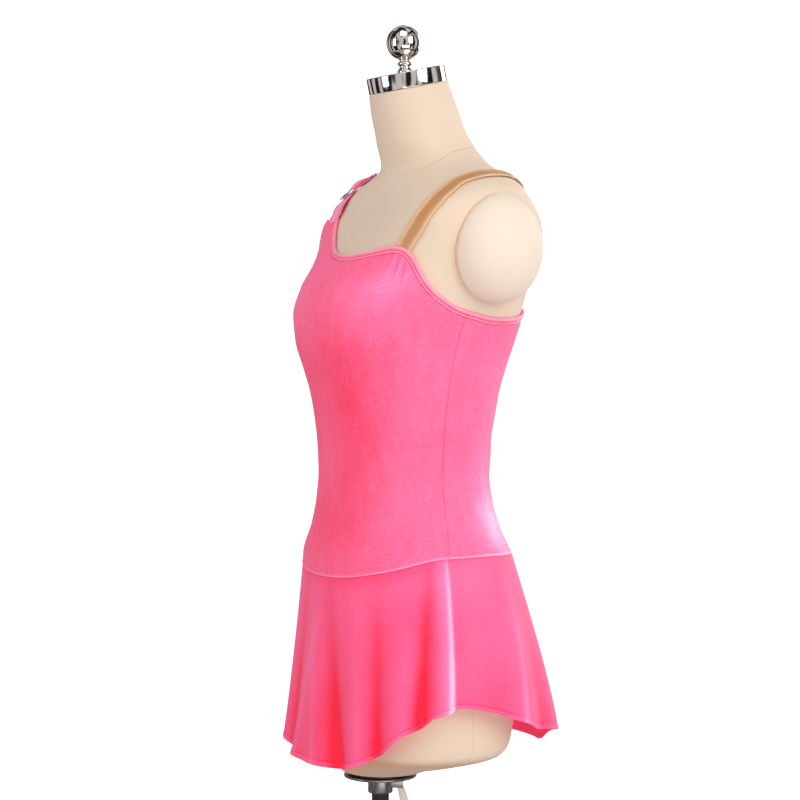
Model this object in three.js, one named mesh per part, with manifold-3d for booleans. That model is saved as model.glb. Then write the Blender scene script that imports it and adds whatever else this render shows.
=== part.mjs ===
// Figure skating dress on a limbless dress form with a pole stand.
// Millimetres, +Z up, front towards -Y, the wearer's left towards +X.
// The origin is the middle of the base's underside, on the axis of the pole.
import * as THREE from 'three';
import { mergeVertices } from 'three/addons/utils/BufferGeometryUtils.js';
import Module from 'manifold-3d';

const wasm = await Module();
wasm.setup();

// ---------------------------------------------------------------- driving dimensions
const FORM_LIFT = 470; // underside of the form above the floor, with the stand at its lowest
const CLOTH_GAP = 1.2; // form to the inside of the cloth
const CLOTH_WALL = 1.5; // thickness of a cloth wall
const SEAM_GAP = 0.3; // between pieces that meet at a seam or on a seat
const CLOTH_OUT = CLOTH_GAP + CLOTH_WALL; // form to the outside of the cloth
const BINDING_WIDTH = 8;
const STRAP_WIDTH = 24; // pink strap, wearer's right
const NUDE_STRAP_WIDTH = 18; // skin-coloured strap, wearer's left
const STRAP_WALL = 1.5;
const POLE_RADIUS = 10;
const POLE_IN_FORM = 230; // length of pole inside the form at the lowest setting
const BORE_RADIUS = 10.6;
const BASE_RADIUS = 190;
const NECK_LEAN = 12; // degrees that the neck's top plane leans forward
const LEAN_FROM = 740; // height on the form where that lean starts

// The form's sections. Height is above the form's underside; front, back and widest are the Y of the
// section's front, back and widest points from the pole's axis; square is the superellipse exponent.
const FORM_SECTIONS = [
  // height, halfWidth, front, back, widest, squareFront, squareBack
  [4, 40, -41, 41, 0, 2.0, 2.0],
  [14, 66, -50, 65, 8, 2.1, 2.1],
  [26, 112, -59, 105, 21, 2.2, 2.2],
  [37, 144, -63, 128, 30, 2.3, 2.3],
  [46, 151, -65, 134, 32, 2.3, 2.3],
  [60, 154, -66, 137, 33, 2.3, 2.3],
  [100, 157, -69, 143, 34, 2.3, 2.3],
  [150, 157, -72, 149, 34, 2.3, 2.3],
  [200, 152.5, -73, 148, 35, 2.25, 2.25],
  [254, 142, -75, 142, 34, 2.2, 2.2],
  [290, 126, -66, 128, 32, 2.2, 2.2],
  [320, 115, -62, 121, 30, 2.2, 2.2],
  [350, 110.5, -60, 118, 29, 2.2, 2.2],
  [380, 112, -61, 119, 29, 2.2, 2.2],
  [410, 115, -64, 123, 29, 2.2, 2.2],
  [440, 120, -69, 128, 30, 2.2, 2.2],
  [470, 125, -78, 137, 31, 2.2, 2.2],
  [500, 130, -87, 148, 33, 2.25, 2.2],
  [530, 134, -89, 158, 37, 2.3, 2.2],
  [560, 139, -80, 165, 49, 2.25, 2.2],
  [590, 144, -57, 173, 57, 2.5, 2.3],
  [615, 148, -40, 175, 63, 3.05, 2.5],
  [638, 151, -30, 168, 68, 3.4, 2.6],
  [655, 151, -20, 153, 71, 3.1, 2.8],
  [670, 144, -13, 142, 73, 2.3, 2.8],
  [681, 130, -5, 138, 74, 1.85, 2.6],
  [690, 110, 2, 135, 73, 1.6, 2.3],
  [697, 88, 5.5, 133, 71, 1.55, 2.1],
  [705, 71, 6, 128, 66, 1.7, 2.0],
  [714, 62, 4.5, 121, 61, 1.85, 2.0],
  [725, 57, 1.5, 113, 55, 1.95, 2.0],
  [740, 52, -1.5, 104, 49, 2.0, 2.0],
  [762, 49, -6, 93.5, 42.5, 2.0, 2.0],
  [790, 45, -9.5, 80.5, 35.5, 2.0, 2.0],
];
const FORM_FOOT = 8; // height at which the form's own material starts, above its plate
const FORM_TOP = 790;

// Bearings are degrees round the form: 0 is the wearer's left, -90 the front, 90 the back.
const SIDE_SEAM = [
  // height, bearing of the left side seam; the right one mirrors it
  [262, -7],
  [290, -4],
  [330, -2.4],
  [400, -1.9],
  [450, -1.5],
  [490, -0.3],
  [527, 1.1],
  [536.5, 1.5],
  [560, 1.5],
];
const WAIST_SEAM = [
  // turn from the centre front in degrees, height
  [0, 236],
  [17, 238],
  [45, 247.5],
  [83, 262.5],
  [103, 263],
  [129, 261],
  [180, 259],
];

// Top edges of the bodice, with the bearing at the waist below which each point hangs.
const NECKLINE = [
  // bearing, height, foot: left side seam, armhole, peak, scoop, up the inside of the right tab
  [1.38, 536.5, -7],
  [-3.6, 541.5, -12],
  [-10.3, 549.3, -18.5],
  [-16.9, 558.2, -25],
  [-23.3, 570.2, -31],
  [-28, 580.2, -35],
  [-32, 588.5, -39],
  [-36.8, 597, -43],
  [-41, 602, -47.5],
  [-46, 605.4, -52],
  [-52, 606.6, -57.5],
  [-62.9, 602.8, -67],
  [-77.5, 597.2, -79.5],
  [-85, 596.8, -85.5],
  [-89.5, 599.5, -90],
  [-92.4, 605, -93],
  [-94.8, 612, -95.5],
  [-96.6, 621, -98.5],
  [-97.6, 631, -101],
  [-98.6, 641, -104],
];
const RIGHT_ARMHOLE = [
  // bearing, height, foot: outside of the right tab down to the right side seam
  [-115, 641, -114],
  [-121, 630, -119],
  [-131, 612, -126],
  [-143, 592.8, -135],
  [-153.4, 571.7, -146],
  [-164, 554.3, -156],
  [-177.5, 539, -169],
  [-181.38, 536.5, -173],
];
const BACK_EDGE = [
  // bearing, height, foot: left side seam round the back to the right side seam
  [1.62, 536.5, -7],
  [14, 530.2, 8],
  [28, 528.5, 26],
  [44, 530, 42],
  [55, 534, 54],
  [66, 538, 65],
  [90, 540, 90],
  [114, 538, 115],
  [125, 534, 126],
  [136, 530, 138],
  [152, 528.5, 154],
  [166, 530.2, 172],
  [178.38, 536.5, 187],
];
const BINDING_SECTION = [
  // across from the edge, out from the form: two rolls with a groove between them
  [0.5, 0.9],
  [7.5, 0.9],
  [8, 2.2],
  [6.4, 3.5],
  [4.2, 2.8],
  [2.2, 3.9],
  [0, 2.6],
];

// The skirt: hem height and flare by the turn from the centre front, and its folds.
const HEM = [
  // turn, height
  [0, 27],
  [20, 27],
  [30, 30],
  [48, 50],
  [61, 76],
  [69, 84],
  [73, 95],
  [78, 103],
  [82, 107],
  [90, 103],
  [97, 98],
  [104, 90],
  [111, 83],
  [118, 74],
  [140, 62],
  [153, 53],
  [163, 38],
  [172, 33],
  [180, 32],
];
const FLARE = [
  // turn, how far out the hem hangs from the waist seam, how soon it leaves the hip
  [0, 21, 0.75],
  [18, 21, 0.75],
  [34, 18.5, 0.85],
  [50, 25, 1.1],
  [60, 29, 1.3],
  [83, 44, 1.3],
  [105, 46, 1.3],
  [140, 47, 1.3],
  [180, 48, 1.3],
];
const FOLDS = [
  // bearing at the waist and at the hem, height at the hem (a trough below zero), half widths towards the
  // front and the back in degrees, how slowly it opens; each is mirrored, and those at -90 and 90 double
  [-90, -90, -1.5, 9, 9, 1.6],
  [-93, -84, 4, 7, 7, 1.4],
  [-82, -66, -9, 8, 7, 1.1],
  [-62, -53, 6.5, 6, 6, 1.3],
  [-49, -43, -9, 6, 6, 1.4],
  [-34, -30, 9, 9, 7, 1.4],
  [-16.5, -20.5, -13, 6, 5, 1.1],
  [-9.5, -12, 13, 5, 2.6, 0.9],
  [6, 5, -4, 8, 8, 1.6],
  [23, 21.5, 5, 7, 9, 1.2],
  [38, 38, -7, 8, 8, 1.6],
  [53, 53, 7, 9, 9, 1.6],
  [72, 72, -5, 9, 9, 1.6],
  [90, 90, 2, 9, 9, 1.6],
];
const SKIRT_SEAM_TURN = -3; // degrees the side seam wanders from waist to hem

// Strap routes: points near the form's surface, x, y, height, settled onto the form.
const RIGHT_STRAP_ROUTE = [
  // x, y, height
  [-62, -28, 642],
  [-63, -19, 655],
  [-65, -8, 668],
  [-69, 8, 681],
  [-78, 34, 690],
  [-85, 66, 693],
  [-87, 98, 688],
  [-85, 127, 673],
  [-82, 151, 645],
  [-80, 164, 612],
  [-78, 158, 575],
  [-77, 148, 532],
];
const LEFT_STRAP_ROUTE = [
  // x, y, height
  [114.6, -24, 603],
  [118.5, -19, 614],
  [124, -14, 625],
  [130, -3, 644],
  [132, 6, 655],
  [130, 19, 665],
  [123, 40, 678],
  [120, 60, 684],
  [115, 84, 687],
  [98, 113, 681],
  [72, 138, 664],
  [50, 157, 636],
  [37, 167, 604],
  [32, 164, 572],
  [31, 153, 532],
];
const LOOP_START = 0.11; // shares of the right strap's length that its doubled loop covers
const LOOP_END = 0.185;
const LOOP_BULGE = 4;
const STRAP_LIFT = 3; // how far the right strap stands off the hollow below the shoulder
const LIFT_END = 0.078; // share of its length at which it lies on the form again
const PAD_CENTRE = [141, 77, 605];
const PAD_RADII = [42, 53, 61];

// ---------------------------------------------------------------- curves through tables
// Smooth monotone curve through the rows of a table: first column in, the others out.
function tableCurve(table) {
  const width = table[0].length - 1;
  const last = table.length - 1;
  const secant = (i, k) => (table[i + 1][k] - table[i][k]) / (table[i + 1][0] - table[i][0]);
  const slopes = table.map((row, i) => {
    const slope = [];
    for (let k = 1; k <= width; k += 1) {
      const before = secant(Math.max(i - 1, 0), k);
      const after = secant(Math.min(i, last - 1), k);
      const end = i === 0 || i === last;
      const turning = before * after <= 0;
      if (end) {
        slope.push(i === 0 ? after : before);
      } else if (turning) {
        slope.push(0);
      } else {
        const near = table[i][0] - table[i - 1][0];
        const far = table[i + 1][0] - table[i][0];
        const weightBefore = 2 * far + near;
        const weightAfter = far + 2 * near;
        slope.push((weightBefore + weightAfter) / (weightBefore / before + weightAfter / after));
      }
    }
    return slope;
  });
  return (at) => {
    const x = THREE.MathUtils.clamp(at, table[0][0], table[last][0]);
    let i = 0;
    while (i < last - 1 && x > table[i + 1][0]) i += 1;
    const step = table[i + 1][0] - table[i][0];
    const t = (x - table[i][0]) / step;
    const values = [];
    for (let k = 1; k <= width; k += 1) {
      const from = table[i][k];
      const rise = table[i + 1][k] - from;
      const startPull = (t ** 3 - 2 * t ** 2 + t) * step * slopes[i][k - 1];
      const endPull = (t ** 3 - t ** 2) * step * slopes[i + 1][k - 1];
      values.push(from + (3 * t ** 2 - 2 * t ** 3) * rise + startPull + endPull);
    }
    return values;
  };
}

const formSection = tableCurve(FORM_SECTIONS);
const sideSeam = tableCurve(SIDE_SEAM);
const waistSeam = tableCurve(WAIST_SEAM);
const hemHeight = tableCurve(HEM);
const flareOut = tableCurve(FLARE);
const { degToRad, radToDeg, lerp, clamp } = THREE.MathUtils;
const signedPower = (value, power) => Math.sign(value) * Math.abs(value) ** power;
const neckLean = Math.tan(degToRad(NECK_LEAN));

// ---------------------------------------------------------------- the form's surface
function formPoint(bearing, height, out = 0) {
  const [halfWidth, front, back, widest, squareFront, squareBack] = formSection(height);
  const cos = Math.cos(degToRad(bearing));
  const sin = Math.sin(degToRad(bearing));
  const depth = sin < 0 ? widest - front : back - widest;
  const square = sin < 0 ? squareFront : squareBack;
  const x = halfWidth * signedPower(cos, 2 / square);
  const y = widest + depth * signedPower(sin, 2 / square);
  const lean = neckLean * clamp((height - LEAN_FROM) / (FORM_TOP - LEAN_FROM), 0, 1);
  const point = new THREE.Vector3(x, y, FORM_LIFT + height + lean * (y - widest));
  return out ? point.addScaledVector(formNormal(bearing, height), out) : point;
}

function formNormal(bearing, height) {
  const round = formPoint(bearing + 0.1, height).sub(formPoint(bearing - 0.1, height));
  const up = formPoint(bearing, height + 0.5).sub(formPoint(bearing, height - 0.5));
  return round.cross(up).normalize();
}

// Bearing of a point at its own height.
function bearingOf(point) {
  const [halfWidth, front, back, widest, squareFront, squareBack] = formSection(point.z - FORM_LIFT);
  const y = point.y - widest;
  const depth = y < 0 ? widest - front : back - widest;
  const power = (y < 0 ? squareFront : squareBack) / 2;
  const sin = signedPower(y / depth, power);
  const cos = signedPower(point.x / halfWidth, power);
  return radToDeg(Math.atan2(sin, cos));
}

// Puts a point onto the form, along the line from the middle of the chest through the point.
function settle(x, y, height) {
  const heart = new THREE.Vector3(0, 65, 600);
  const way = new THREE.Vector3(x, y, height).sub(heart);
  let inside = 0;
  let outside = 2;
  for (let pass = 0; pass < 40; pass += 1) {
    const middle = (inside + outside) / 2;
    const probe = heart.clone().addScaledVector(way, middle);
    const [halfWidth, front, back, widest, squareFront, squareBack] = formSection(probe.z);
    const depth = probe.y < widest ? widest - front : back - widest;
    const square = probe.y < widest ? squareFront : squareBack;
    const across = Math.abs(probe.x / halfWidth) ** square;
    const along = Math.abs((probe.y - widest) / depth) ** square;
    if (across + along < 1) inside = middle;
    else outside = middle;
  }
  const found = heart.addScaledVector(way, inside);
  found.z += FORM_LIFT;
  const bearing = bearingOf(found);
  return { point: found, normal: formNormal(bearing, found.z - FORM_LIFT) };
}

// ---------------------------------------------------------------- closed meshes
function signedVolume(points, faces) {
  const cross = new THREE.Vector3();
  return faces.reduce(
    (sum, [a, b, c]) => sum + points[a].dot(cross.crossVectors(points[b], points[c])),
    0,
  );
}

// Geometry from points and triangles, turned so that its faces point out.
function closedGeometry(points, faces) {
  const outward = signedVolume(points, faces) > 0;
  const geometry = new THREE.BufferGeometry();
  const positions = points.flatMap((point) => point.toArray());
  geometry.setAttribute('position', new THREE.Float32BufferAttribute(positions, 3));
  geometry.setIndex(faces.flatMap(([a, b, c]) => (outward ? [a, b, c] : [a, c, b])));
  geometry.computeVertexNormals();
  return geometry;
}

// A wall from a grid of outer points and the same grid of inner points, open at its four edges.
function wallGeometry(outer, inner) {
  const rows = outer.length;
  const columns = outer[0].length;
  const points = [...outer.flat(), ...inner.flat()];
  const skin = rows * columns;
  const faces = [];
  const quad = (a, b, c, d) => faces.push([a, b, c], [a, c, d]);
  for (let r = 0; r < rows - 1; r += 1) {
    for (let c = 0; c < columns - 1; c += 1) {
      const a = r * columns + c;
      const b = a + 1;
      const d = a + columns;
      quad(a, b, d + 1, d);
      faces.push([a + skin, d + 1 + skin, b + skin], [a + skin, d + skin, d + 1 + skin]);
    }
  }
  const rim = [];
  for (let c = 0; c < columns; c += 1) rim.push(c);
  for (let r = 1; r < rows; r += 1) rim.push(r * columns + columns - 1);
  for (let c = columns - 2; c >= 0; c -= 1) rim.push((rows - 1) * columns + c);
  for (let r = rows - 2; r > 0; r -= 1) rim.push(r * columns);
  rim.forEach((a, i) => {
    const b = rim[(i + 1) % rim.length];
    quad(b, a, a + skin, b + skin);
  });
  return closedGeometry(points, faces);
}

// A solid through loops of points, capped at both ends.
function loftGeometry(loops) {
  const count = loops[0].length;
  const points = loops.flat();
  const faces = [];
  for (let s = 0; s < loops.length - 1; s += 1) {
    for (let i = 0; i < count; i += 1) {
      const a = s * count + i;
      const b = s * count + ((i + 1) % count);
      faces.push([a, b, b + count], [a, b + count, a + count]);
    }
  }
  const end = (loops.length - 1) * count;
  for (let i = 1; i < count - 1; i += 1) {
    faces.push([0, i + 1, i], [end, end + i, end + i + 1]);
  }
  return closedGeometry(points, faces);
}

function toManifold(geometry) {
  const plain = geometry.clone();
  plain.deleteAttribute('normal');
  plain.deleteAttribute('uv');
  const merged = mergeVertices(plain, 1e-4);
  const vertProperties = new Float32Array(merged.attributes.position.array);
  const triVerts = new Uint32Array(merged.index.array);
  return new wasm.Manifold(new wasm.Mesh({ numProp: 3, vertProperties, triVerts }));
}

function fromManifold(solid) {
  const { vertProperties, triVerts } = solid.getMesh();
  const geometry = new THREE.BufferGeometry();
  geometry.setAttribute('position', new THREE.Float32BufferAttribute(vertProperties, 3));
  geometry.setIndex(Array.from(triVerts));
  geometry.computeVertexNormals();
  return geometry;
}

// A turned solid about the Z axis from a profile of [radius, height].
function turned(profile, segments) {
  const points = profile.map(([radius, height]) => new THREE.Vector2(radius, height));
  return new THREE.LatheGeometry(points, segments).rotateX(Math.PI / 2);
}

// ---------------------------------------------------------------- the dress form
const FORM_HEIGHTS = [
  FORM_FOOT, 14, 26, 37, 46, 60, 100, 150, 200, 230, 254, 272, 290, 310, 330, 350, 375, 400, 430, 460,
  485, 510, 530, 550, 570, 585, 600, 615, 630, 645, 658, 670, 681, 690, 697, 705, 716, 735, 762, FORM_TOP,
];
const FORM_SIDES = 32;

function formSolid(out) {
  const loops = FORM_HEIGHTS.map((height) =>
    Array.from({ length: FORM_SIDES }, (_, i) => formPoint((i * 360) / FORM_SIDES, height, out)),
  );
  return loftGeometry(loops);
}

function formGeometry() {
  const depth = POLE_IN_FORM + 12;
  const bore = new THREE.CylinderGeometry(BORE_RADIUS, BORE_RADIUS, depth, 20).rotateX(Math.PI / 2);
  bore.translate(0, 0, FORM_LIFT + depth / 2 - 2);
  return fromManifold(toManifold(formSolid(0)).subtract(toManifold(bore)));
}

// The rounded cap over a shoulder's end, hollowed to sit against the form.
function padGeometry(side) {
  const pad = new THREE.SphereGeometry(1, 20, 12).rotateX(Math.PI / 2).scale(...PAD_RADII);
  pad.translate(side * PAD_CENTRE[0], PAD_CENTRE[1], FORM_LIFT + PAD_CENTRE[2]);
  return fromManifold(toManifold(pad).subtract(toManifold(formSolid(SEAM_GAP))));
}

const CAP_HEIGHT = 19;
const CAP_RADIUS = 45.5;
const NECK_TOP = new THREE.Vector3(0, 35.5, FORM_LIFT + FORM_TOP);

function capGeometry(grow = 0) {
  const top = CAP_HEIGHT + grow;
  const cap = turned([[0, 0], [CAP_RADIUS - 0.8, 0], [CAP_RADIUS, 1], [CAP_RADIUS, top - 1.5],
    [CAP_RADIUS - 1.5, top], [0, top]], 32);
  cap.translate(0, 0, SEAM_GAP);
  cap.rotateX(degToRad(NECK_LEAN));
  return cap.translate(...NECK_TOP.toArray());
}

const BALL_RADIUS = 20;
const BALL_CENTRE = 33; // above the cap's top, along the finial
const FINIAL_LEAN = 3;

function finialGeometry() {
  const foot = [[0, -6], [9, -6], [9, 1.5], [6.5, 4], [6.2, 6.5], [8.5, 8.5], [8.5, 10.5], [5.6, 13]];
  const ballSteps = 8;
  const start = Math.asin(5.6 / BALL_RADIUS);
  const arc = Array.from({ length: ballSteps }, (_, i) => {
    const angle = lerp(start, Math.PI, (i + 1) / ballSteps);
    return [Math.max(BALL_RADIUS * Math.sin(angle), 0), BALL_CENTRE - BALL_RADIUS * Math.cos(angle)];
  });
  arc[ballSteps - 1][0] = 0;
  const finial = turned([...foot, ...arc], 20).rotateX(degToRad(FINIAL_LEAN));
  const rise = new THREE.Vector3(0, 0, CAP_HEIGHT).applyAxisAngle(new THREE.Vector3(1, 0, 0),
    degToRad(NECK_LEAN));
  finial.translate(...NECK_TOP.clone().add(rise).toArray());
  return fromManifold(toManifold(finial).subtract(toManifold(capGeometry(SEAM_GAP))));
}

// ---------------------------------------------------------------- the bodice
const turnFromFront = (bearing) => {
  const round = THREE.MathUtils.euclideanModulo(bearing + 90 + 180, 360) - 180;
  return Math.abs(round);
};
const waistHeight = (bearing) => waistSeam(turnFromFront(bearing))[0];
const SIDE_SEAM_TOP = 536.5; // height of the top edge at the side seams
const SEAM_SHIFT = 0.12; // degrees that a panel stops short of a side seam

// The bearings of a panel's two side edges at a height.
const FRONT = {
  left: (height) => sideSeam(height)[0] - SEAM_SHIFT,
  right: (height) => -180 - sideSeam(height)[0] + SEAM_SHIFT,
};
const BACK = {
  left: (height) => sideSeam(height)[0] + SEAM_SHIFT,
  right: (height) => 180 - sideSeam(height)[0] - SEAM_SHIFT,
};

// Rows of [bearing, height, foot] along an edge table, evenly spaced by the curve's length.
function edgeSamples(table, count) {
  const rows = table.map((row) => new THREE.Vector3(...row));
  const curve = new THREE.CatmullRomCurve3(rows, false, 'centripetal');
  return curve.getSpacedPoints(count - 1).map((p) => ({ bearing: p.x, height: p.y, foot: p.z }));
}

// Point, normal and the direction into the panel at each sample of an edge.
function edgeFrames(samples) {
  const points = samples.map(({ bearing, height }) => formPoint(bearing, height));
  return samples.map((sample, i) => {
    const along = points[Math.min(i + 1, points.length - 1)].clone().sub(points[Math.max(i - 1, 0)]);
    const normal = formNormal(sample.bearing, sample.height);
    const across = along.clone().cross(normal).normalize();
    const atSideSeam = sample.height < SIDE_SEAM_TOP + 0.1 && (i === 0 || i === points.length - 1);
    if (atSideSeam) {
      const down = formPoint(sample.bearing, sample.height - 1).sub(points[i]).normalize();
      across.copy(across.z > 0 ? down.negate() : down);
    }
    return { ...sample, point: points[i], normal, across };
  });
}

// The panel's own edge, in from the binding's outer edge by the binding's width and a gap.
function insetEdge(frames, sign) {
  return frames.map((frame) => {
    const inset = frame.point.clone().addScaledVector(frame.across, sign * (BINDING_WIDTH + SEAM_GAP));
    return { bearing: bearingOf(inset), height: inset.z - FORM_LIFT, foot: frame.foot };
  });
}

// A binding strip along an edge.
function bindingGeometry(frames, sign, grow = 0) {
  const middle = BINDING_WIDTH / 2;
  const loops = frames.map(({ point, normal, across }) =>
    BINDING_SECTION.map(([inward, out]) =>
      point
        .clone()
        .addScaledVector(across, sign * (inward + grow * Math.sign(inward - middle)))
        .addScaledVector(normal, out + (out < 1 ? -grow : grow)),
    ),
  );
  return loftGeometry(loops);
}

// Shares of the way down a bodice panel at which its rows lie: close over the bust and at the waist.
const PANEL_ROWS = [
  0, 0.04, 0.09, 0.14, 0.19, 0.24, 0.29, 0.34, 0.4, 0.47, 0.55, 0.65, 0.75, 0.84, 0.9, 0.95, 1,
];

// Cloth wall between a top edge and the waist seam, on the form's surface.
function bodicePanel(edge, panel) {
  const share = (bearing, height) => {
    const span = panel.right(height) - panel.left(height);
    return clamp((bearing - panel.left(height)) / span, 0, 1);
  };
  const unwrap = (bearing) => {
    const middle = (panel.left(400) + panel.right(400)) / 2;
    return middle + THREE.MathUtils.euclideanModulo(bearing - middle + 180, 360) - 180;
  };
  const place = (column, t) => {
    const last = column === 0 ? 0 : 1;
    const atEnd = column === 0 || column === edge.length - 1;
    const top = edge[column];
    const footHeight = waistHeight(top.foot) + SEAM_GAP;
    const topShare = atEnd ? last : share(unwrap(top.bearing), top.height);
    const footShare = atEnd ? last : share(top.foot, footHeight);
    const height = lerp(top.height, footHeight, t);
    const u = lerp(topShare, footShare, t);
    return [lerp(panel.left(height), panel.right(height), u), height];
  };
  const grid = (out) =>
    PANEL_ROWS.map((t) => edge.map((_, column) => formPoint(...place(column, t), out)));
  return wallGeometry(grid(CLOTH_OUT), grid(CLOTH_GAP));
}

const neckFrames = edgeFrames(edgeSamples(NECKLINE, 34));
const armFrames = edgeFrames(edgeSamples(RIGHT_ARMHOLE, 15));
const backFrames = edgeFrames(edgeSamples(BACK_EDGE, 24));

// ---------------------------------------------------------------- the skirt
function foldHeight(bearing, t) {
  return FOLDS.reduce((sum, [atWaist, atHem, height, front, back, slowness]) => {
    const middle = lerp(atWaist, atHem, t);
    const bumps = [bearing, -180 - bearing].map((side) => {
      const away = THREE.MathUtils.euclideanModulo(side - middle + 180, 360) - 180;
      return Math.exp(-((away / (away < 0 ? front : back)) ** 2));
    });
    return sum + height * (bumps[0] + bumps[1]) * t ** slowness;
  }, 0);
}

// A point of the skirt's outside, t from 0 at the waist seam to 1 at the hem.
function skirtPoint(bearing, t) {
  const turn = turnFromFront(bearing);
  const top = waistHeight(bearing);
  const out = formNormal(bearing, top).setZ(0).normalize();
  const [hang, haste] = flareOut(turn);
  const reach = CLOTH_OUT + hang * (1 - (1 - t) ** haste) + foldHeight(bearing, t);
  const point = formPoint(bearing, top).addScaledVector(out, reach);
  point.z = FORM_LIFT + lerp(top - SEAM_GAP, hemHeight(turn)[0], t);
  return point;
}

function skirtNormal(bearing, t) {
  const round = skirtPoint(bearing + 0.2, t).sub(skirtPoint(bearing - 0.2, t));
  const down = skirtPoint(bearing, Math.min(t + 0.01, 1)).sub(skirtPoint(bearing, Math.max(t - 0.01, 0)));
  return down.cross(round).normalize();
}

const END_CROWDING = 0.5; // how much closer a panel's first and last columns stand, by the side seams

// Cloth wall of a skirt panel between two bearings.
function skirtPanel(from, to, columns, rows) {
  const outer = [];
  const inner = [];
  for (let r = 0; r <= rows; r += 1) {
    const t = r / rows;
    const outerRow = [];
    const innerRow = [];
    for (let c = 0; c <= columns; c += 1) {
      const even = c / columns;
      const u = even - (END_CROWDING * Math.sin(2 * Math.PI * even)) / (2 * Math.PI);
      const bearing = lerp(from(t), to(t), u);
      const point = skirtPoint(bearing, t);
      outerRow.push(point);
      innerRow.push(point.clone().addScaledVector(skirtNormal(bearing, t), -CLOTH_WALL));
    }
    outer.push(outerRow);
    inner.push(innerRow);
  }
  return wallGeometry(outer, inner);
}

const SEAM_AT_WAIST = SIDE_SEAM[0][1];
const skirtSeam = (t, shift) => SEAM_AT_WAIST + SKIRT_SEAM_TURN * t + shift;
const frontLeft = (t) => skirtSeam(t, -SEAM_SHIFT);
const frontRight = (t) => -180 - skirtSeam(t, -SEAM_SHIFT);
const backLeft = (t) => skirtSeam(t, SEAM_SHIFT);
const backRight = (t) => 180 - skirtSeam(t, SEAM_SHIFT);

// ---------------------------------------------------------------- the straps
// Frames along a route settled onto the form, evenly spaced.
function routeFrames(route, count) {
  const onForm = route.map((point) => settle(...point).point);
  const curve = new THREE.CatmullRomCurve3(onForm, false, 'centripetal');
  return curve.getSpacedPoints(count - 1).map((p, i) => {
    const { point, normal } = settle(p.x, p.y, p.z - FORM_LIFT);
    const tangent = curve.getTangentAt(i / (count - 1));
    const across = normal.clone().cross(tangent).normalize();
    return { point, normal, across };
  });
}

// A strip of a width along frames that follows the form, from one distance off it to another.
function stripGeometry(frames, width, near, far) {
  const raise = (out) => (foot) => foot.point.clone().addScaledVector(foot.normal, out);
  const loops = frames.map(({ point, across }, i) => {
    const t = i / (frames.length - 1);
    const feet = [-width / 2, 0, width / 2].map((side) => {
      const spot = point.clone().addScaledVector(across, side);
      return settle(spot.x, spot.y, spot.z - FORM_LIFT);
    });
    return [...feet.map(raise(near(t))), ...feet.reverse().map(raise(far(t)))];
  });
  return loftGeometry(loops);
}

const flat = (value) => () => value;
const rightStrap = routeFrames(RIGHT_STRAP_ROUTE, 34);
const leftStrap = routeFrames(LEFT_STRAP_ROUTE, 34);

// The right strap's frame at a share of its length.
function strapFrame(share) {
  const at = share * (rightStrap.length - 1);
  const low = rightStrap[Math.floor(at)];
  const high = rightStrap[Math.ceil(at)];
  const mix = (way) => low[way].clone().lerp(high[way], at - Math.floor(at));
  return { point: mix('point'), normal: mix('normal').normalize(), across: mix('across').normalize() };
}

// A rounded frame of round wire that lies over the strap, square to it.
function buckleGeometry(share, bars) {
  const { point, normal, across } = strapFrame(share);
  const wire = 1.1;
  const half = STRAP_WIDTH / 2 + 2.6;
  const along = across.clone().cross(normal);
  const seat = CLOTH_GAP + STRAP_WALL + SEAM_GAP + wire + 0.3;
  const bar = (x0, y0, x1, y1) => {
    const span = Math.hypot(x1 - x0, y1 - y0) + 2 * wire;
    const rod = new THREE.CapsuleGeometry(wire, span - 2 * wire, 2, 6);
    rod.rotateZ(Math.atan2(y1 - y0, x1 - x0) - Math.PI / 2);
    rod.translate((x0 + x1) / 2, (y0 + y1) / 2, 0);
    return toManifold(rod);
  };
  const rungs = bars.map((y) => bar(-half, y, half, y));
  const rails = [-half, half].map((x) => bar(x, bars[0], x, bars[bars.length - 1]));
  const whole = [...rungs, ...rails].reduce((sum, part) => sum.add(part));
  const geometry = fromManifold(whole);
  const basis = new THREE.Matrix4().makeBasis(across.clone().negate(), along, normal);
  geometry.applyMatrix4(basis);
  return geometry.translate(...point.clone().addScaledVector(normal, seat).toArray());
}

// The doubled-back stretch of the right strap that arches between its slider and its ring.
function loopGeometry() {
  const steps = 10;
  const frames = Array.from({ length: steps + 1 }, (_, i) =>
    strapFrame(lerp(LOOP_START, LOOP_END, i / steps)),
  );
  const seat = CLOTH_GAP + STRAP_WALL + SEAM_GAP;
  const near = (t) => seat + LOOP_BULGE * Math.sin(Math.PI * t) ** 0.7;
  return stripGeometry(frames, STRAP_WIDTH - 1, near, (t) => near(t) + STRAP_WALL);
}

// ---------------------------------------------------------------- the stand
const PLATE_RADIUS = 42;
const PLATE_HEIGHT = 3;
const SPACER_RADIUS = 37;
const COLLAR_RADIUS = 14.3;
const COLLAR_HEIGHT = 19;
const POLE_SEAT = 3;
const SOCKET_RADIUS = 17;
const SOCKET_TOP = 36;
const RUNNING_GAP = 0.4; // pole to the parts that slide on it
const LEVER_BEARING = 65; // direction in which the clamp's lever stands
const LEVER_DROP = -8; // the lever's pivot from the form's underside
const LEVER_OUT = 22; // the lever's pivot from the pole's axis

// A ring about the Z axis with a bore for the pole.
function ringGeometry(radius, low, high, chamfer = 0.8) {
  const inner = POLE_RADIUS + RUNNING_GAP;
  return turned([[inner, low], [radius - chamfer, low], [radius, low + chamfer], [radius, high - chamfer],
    [radius - chamfer, high], [inner, high], [inner, low]], 24);
}

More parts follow.
